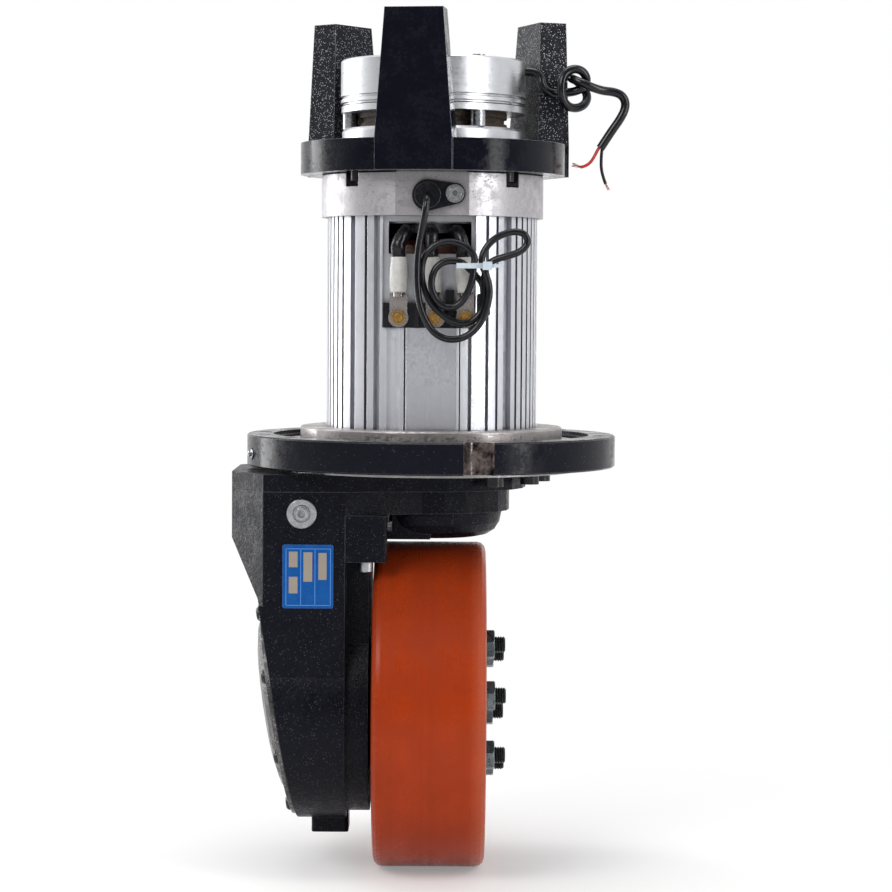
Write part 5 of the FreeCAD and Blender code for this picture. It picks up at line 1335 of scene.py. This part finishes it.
@dataclass
class Studio:
    """The pale floor, the soft lamps, the white surroundings and the camera.

    Places are in metres and angles in degrees. The lens, its sensor and half the floor are in millimetres.
    """

    camera_place: Point = (0.0099, -1.95, 0.0924)
    lens: float = 111.16
    sensor_width: float = 36.0
    roll: float = -0.37
    dip: float = 2.968
    aim: Point = (0.0, 0.0, -0.02)
    panels: tuple = (
        ("key_panel", (-1.1, -1.6, 1.3), (1.0, 1.0), 22.0), ("right_strip", (1.3, -0.9, 0.5), (0.4, 1.4), 12.0),
        ("left_strip", (-1.3, 0.7, 0.3), (0.5, 1.6), 14.0), ("top_panel", (0.0, 0.0, 1.8), (1.2, 1.2), 16.0),
    )
    ambient: float = 0.5
    front_glow: float = 0.22
    floor_half: float = 6000.0
    floor_tone: float = 0.9
    fade_from: float = 0.33
    fade_to: float = 0.62
    least_glow: float = 0.25

    def panel(self, name: str, place: Point, size: tuple[float, float], power: float) -> None:
        """Adds a soft rectangular lamp that looks at the object's middle.

        Args:
            name: the lamp's name.
            place: where it stands.
            size: its width and height.
            power: its power.
        """
        data = bpy.data.lights.new(name, "AREA")
        data.shape = "RECTANGLE"
        data.size, data.size_y = size
        data.energy = power
        lamp = stand(name, data)
        lamp.location = place
        lamp.rotation_euler = (Vector(place) - Vector(self.aim)).to_track_quat("Z", "Y").to_euler()

    def world(self) -> None:
        """Makes surroundings that look white, are greyer in reflections from the front, and light softly."""
        world = bpy.data.worlds.new("studio")
        world.use_nodes = True
        bpy.context.scene.world = world
        graph = Graph(world.node_tree)
        back = world.node_tree.nodes["Background"]
        back.inputs["Color"].default_value = (1.0, 1.0, 1.0, 1.0)
        seen = graph.seen()
        heading = graph.split(graph.node("ShaderNodeTexCoord").outputs["Generated"])
        glow = graph.span(heading[1], low=-0.75, high=0.35, start=self.front_glow)
        backdrop = graph.math("MAXIMUM", graph.node("ShaderNodeLightPath").outputs["Is Camera Ray"], glow)
        light = graph.times(graph.math("SUBTRACT", 1.0, seen), self.ambient)
        graph.feed(back.inputs["Strength"], graph.plus(graph.times(seen, backdrop), light))

    def floor(self) -> None:
        """Makes the pale floor, which fades to white away from the object."""
        form = bmesh.new()
        bmesh.ops.create_grid(form, x_segments=8, y_segments=8, size=self.floor_half,
                              matrix=Matrix.Translation((0.0, 0.0, FLOOR_Z / MM)))
        data = bpy.data.meshes.new("floor")
        bmesh.ops.scale(form, vec=(MM, MM, MM), verts=form.verts)
        form.to_mesh(data)
        form.free()
        plane = stand("floor", data)
        plane.data.materials.append(self.pale())

    def pale(self) -> bpy.types.Material:
        """Makes the floor's material.

        Returns:
            The material.
        """
        material = bpy.data.materials.new("pale_floor")
        material.use_nodes = True
        graph = Graph(material.node_tree)
        material.node_tree.nodes.remove(material.node_tree.nodes["Principled BSDF"])
        matte = graph.node("ShaderNodeBsdfDiffuse")
        matte.inputs["Color"].default_value = (self.floor_tone, self.floor_tone, self.floor_tone, 1.0)
        glow = graph.node("ShaderNodeEmission")
        glow.inputs["Color"].default_value = (1.0, 1.0, 1.0, 1.0)
        away = graph.vector("LENGTH", graph.node("ShaderNodeTexCoord").outputs["Object"]).outputs["Value"]
        fade = graph.span(away, self.fade_from, self.fade_to, start=self.least_glow)
        both = graph.node("ShaderNodeMixShader")
        graph.feed(both.inputs[0], graph.times(graph.seen(), fade))
        graph.feed(both.inputs[1], matte.outputs[0])
        graph.feed(both.inputs[2], glow.outputs[0])
        graph.feed(material.node_tree.nodes["Material Output"].inputs["Surface"], both.outputs[0])
        return material

    def camera(self) -> None:
        """Makes the camera that takes the photograph's view."""
        data = bpy.data.cameras.new("camera")
        data.lens = self.lens
        data.sensor_width = self.sensor_width
        data.sensor_fit = "HORIZONTAL"
        camera = stand("camera", data)
        camera.location = self.camera_place
        camera.rotation_euler = (math.radians(90.0 - self.dip), math.radians(self.roll), 0.0)
        bpy.context.scene.camera = camera

    def build(self) -> None:
        """Sets up the whole studio."""
        bpy.context.scene.view_settings.view_transform = "Standard"
        self.camera()
        self.world()
        self.floor()
        for settings in self.panels:
            self.panel(*settings)


def main() -> None:
    """Builds the studio, the finishes and every added piece in order."""
    logging.basicConfig(level=logging.INFO, format="%(name)s: %(message)s")
    paint = Paintshop()
    shop = Workshop(paint)
    for group in (Studio(), SensorCable(shop), BrakeCable(shop), Castings(paint), MotorLeads(shop),
                  MarkerSleeves(shop), WheelStuds(shop), RatingPlate(shop)):
        LOG.info("building %s", type(group).__name__)
        group.build()


if __name__ == "__main__":
    main()
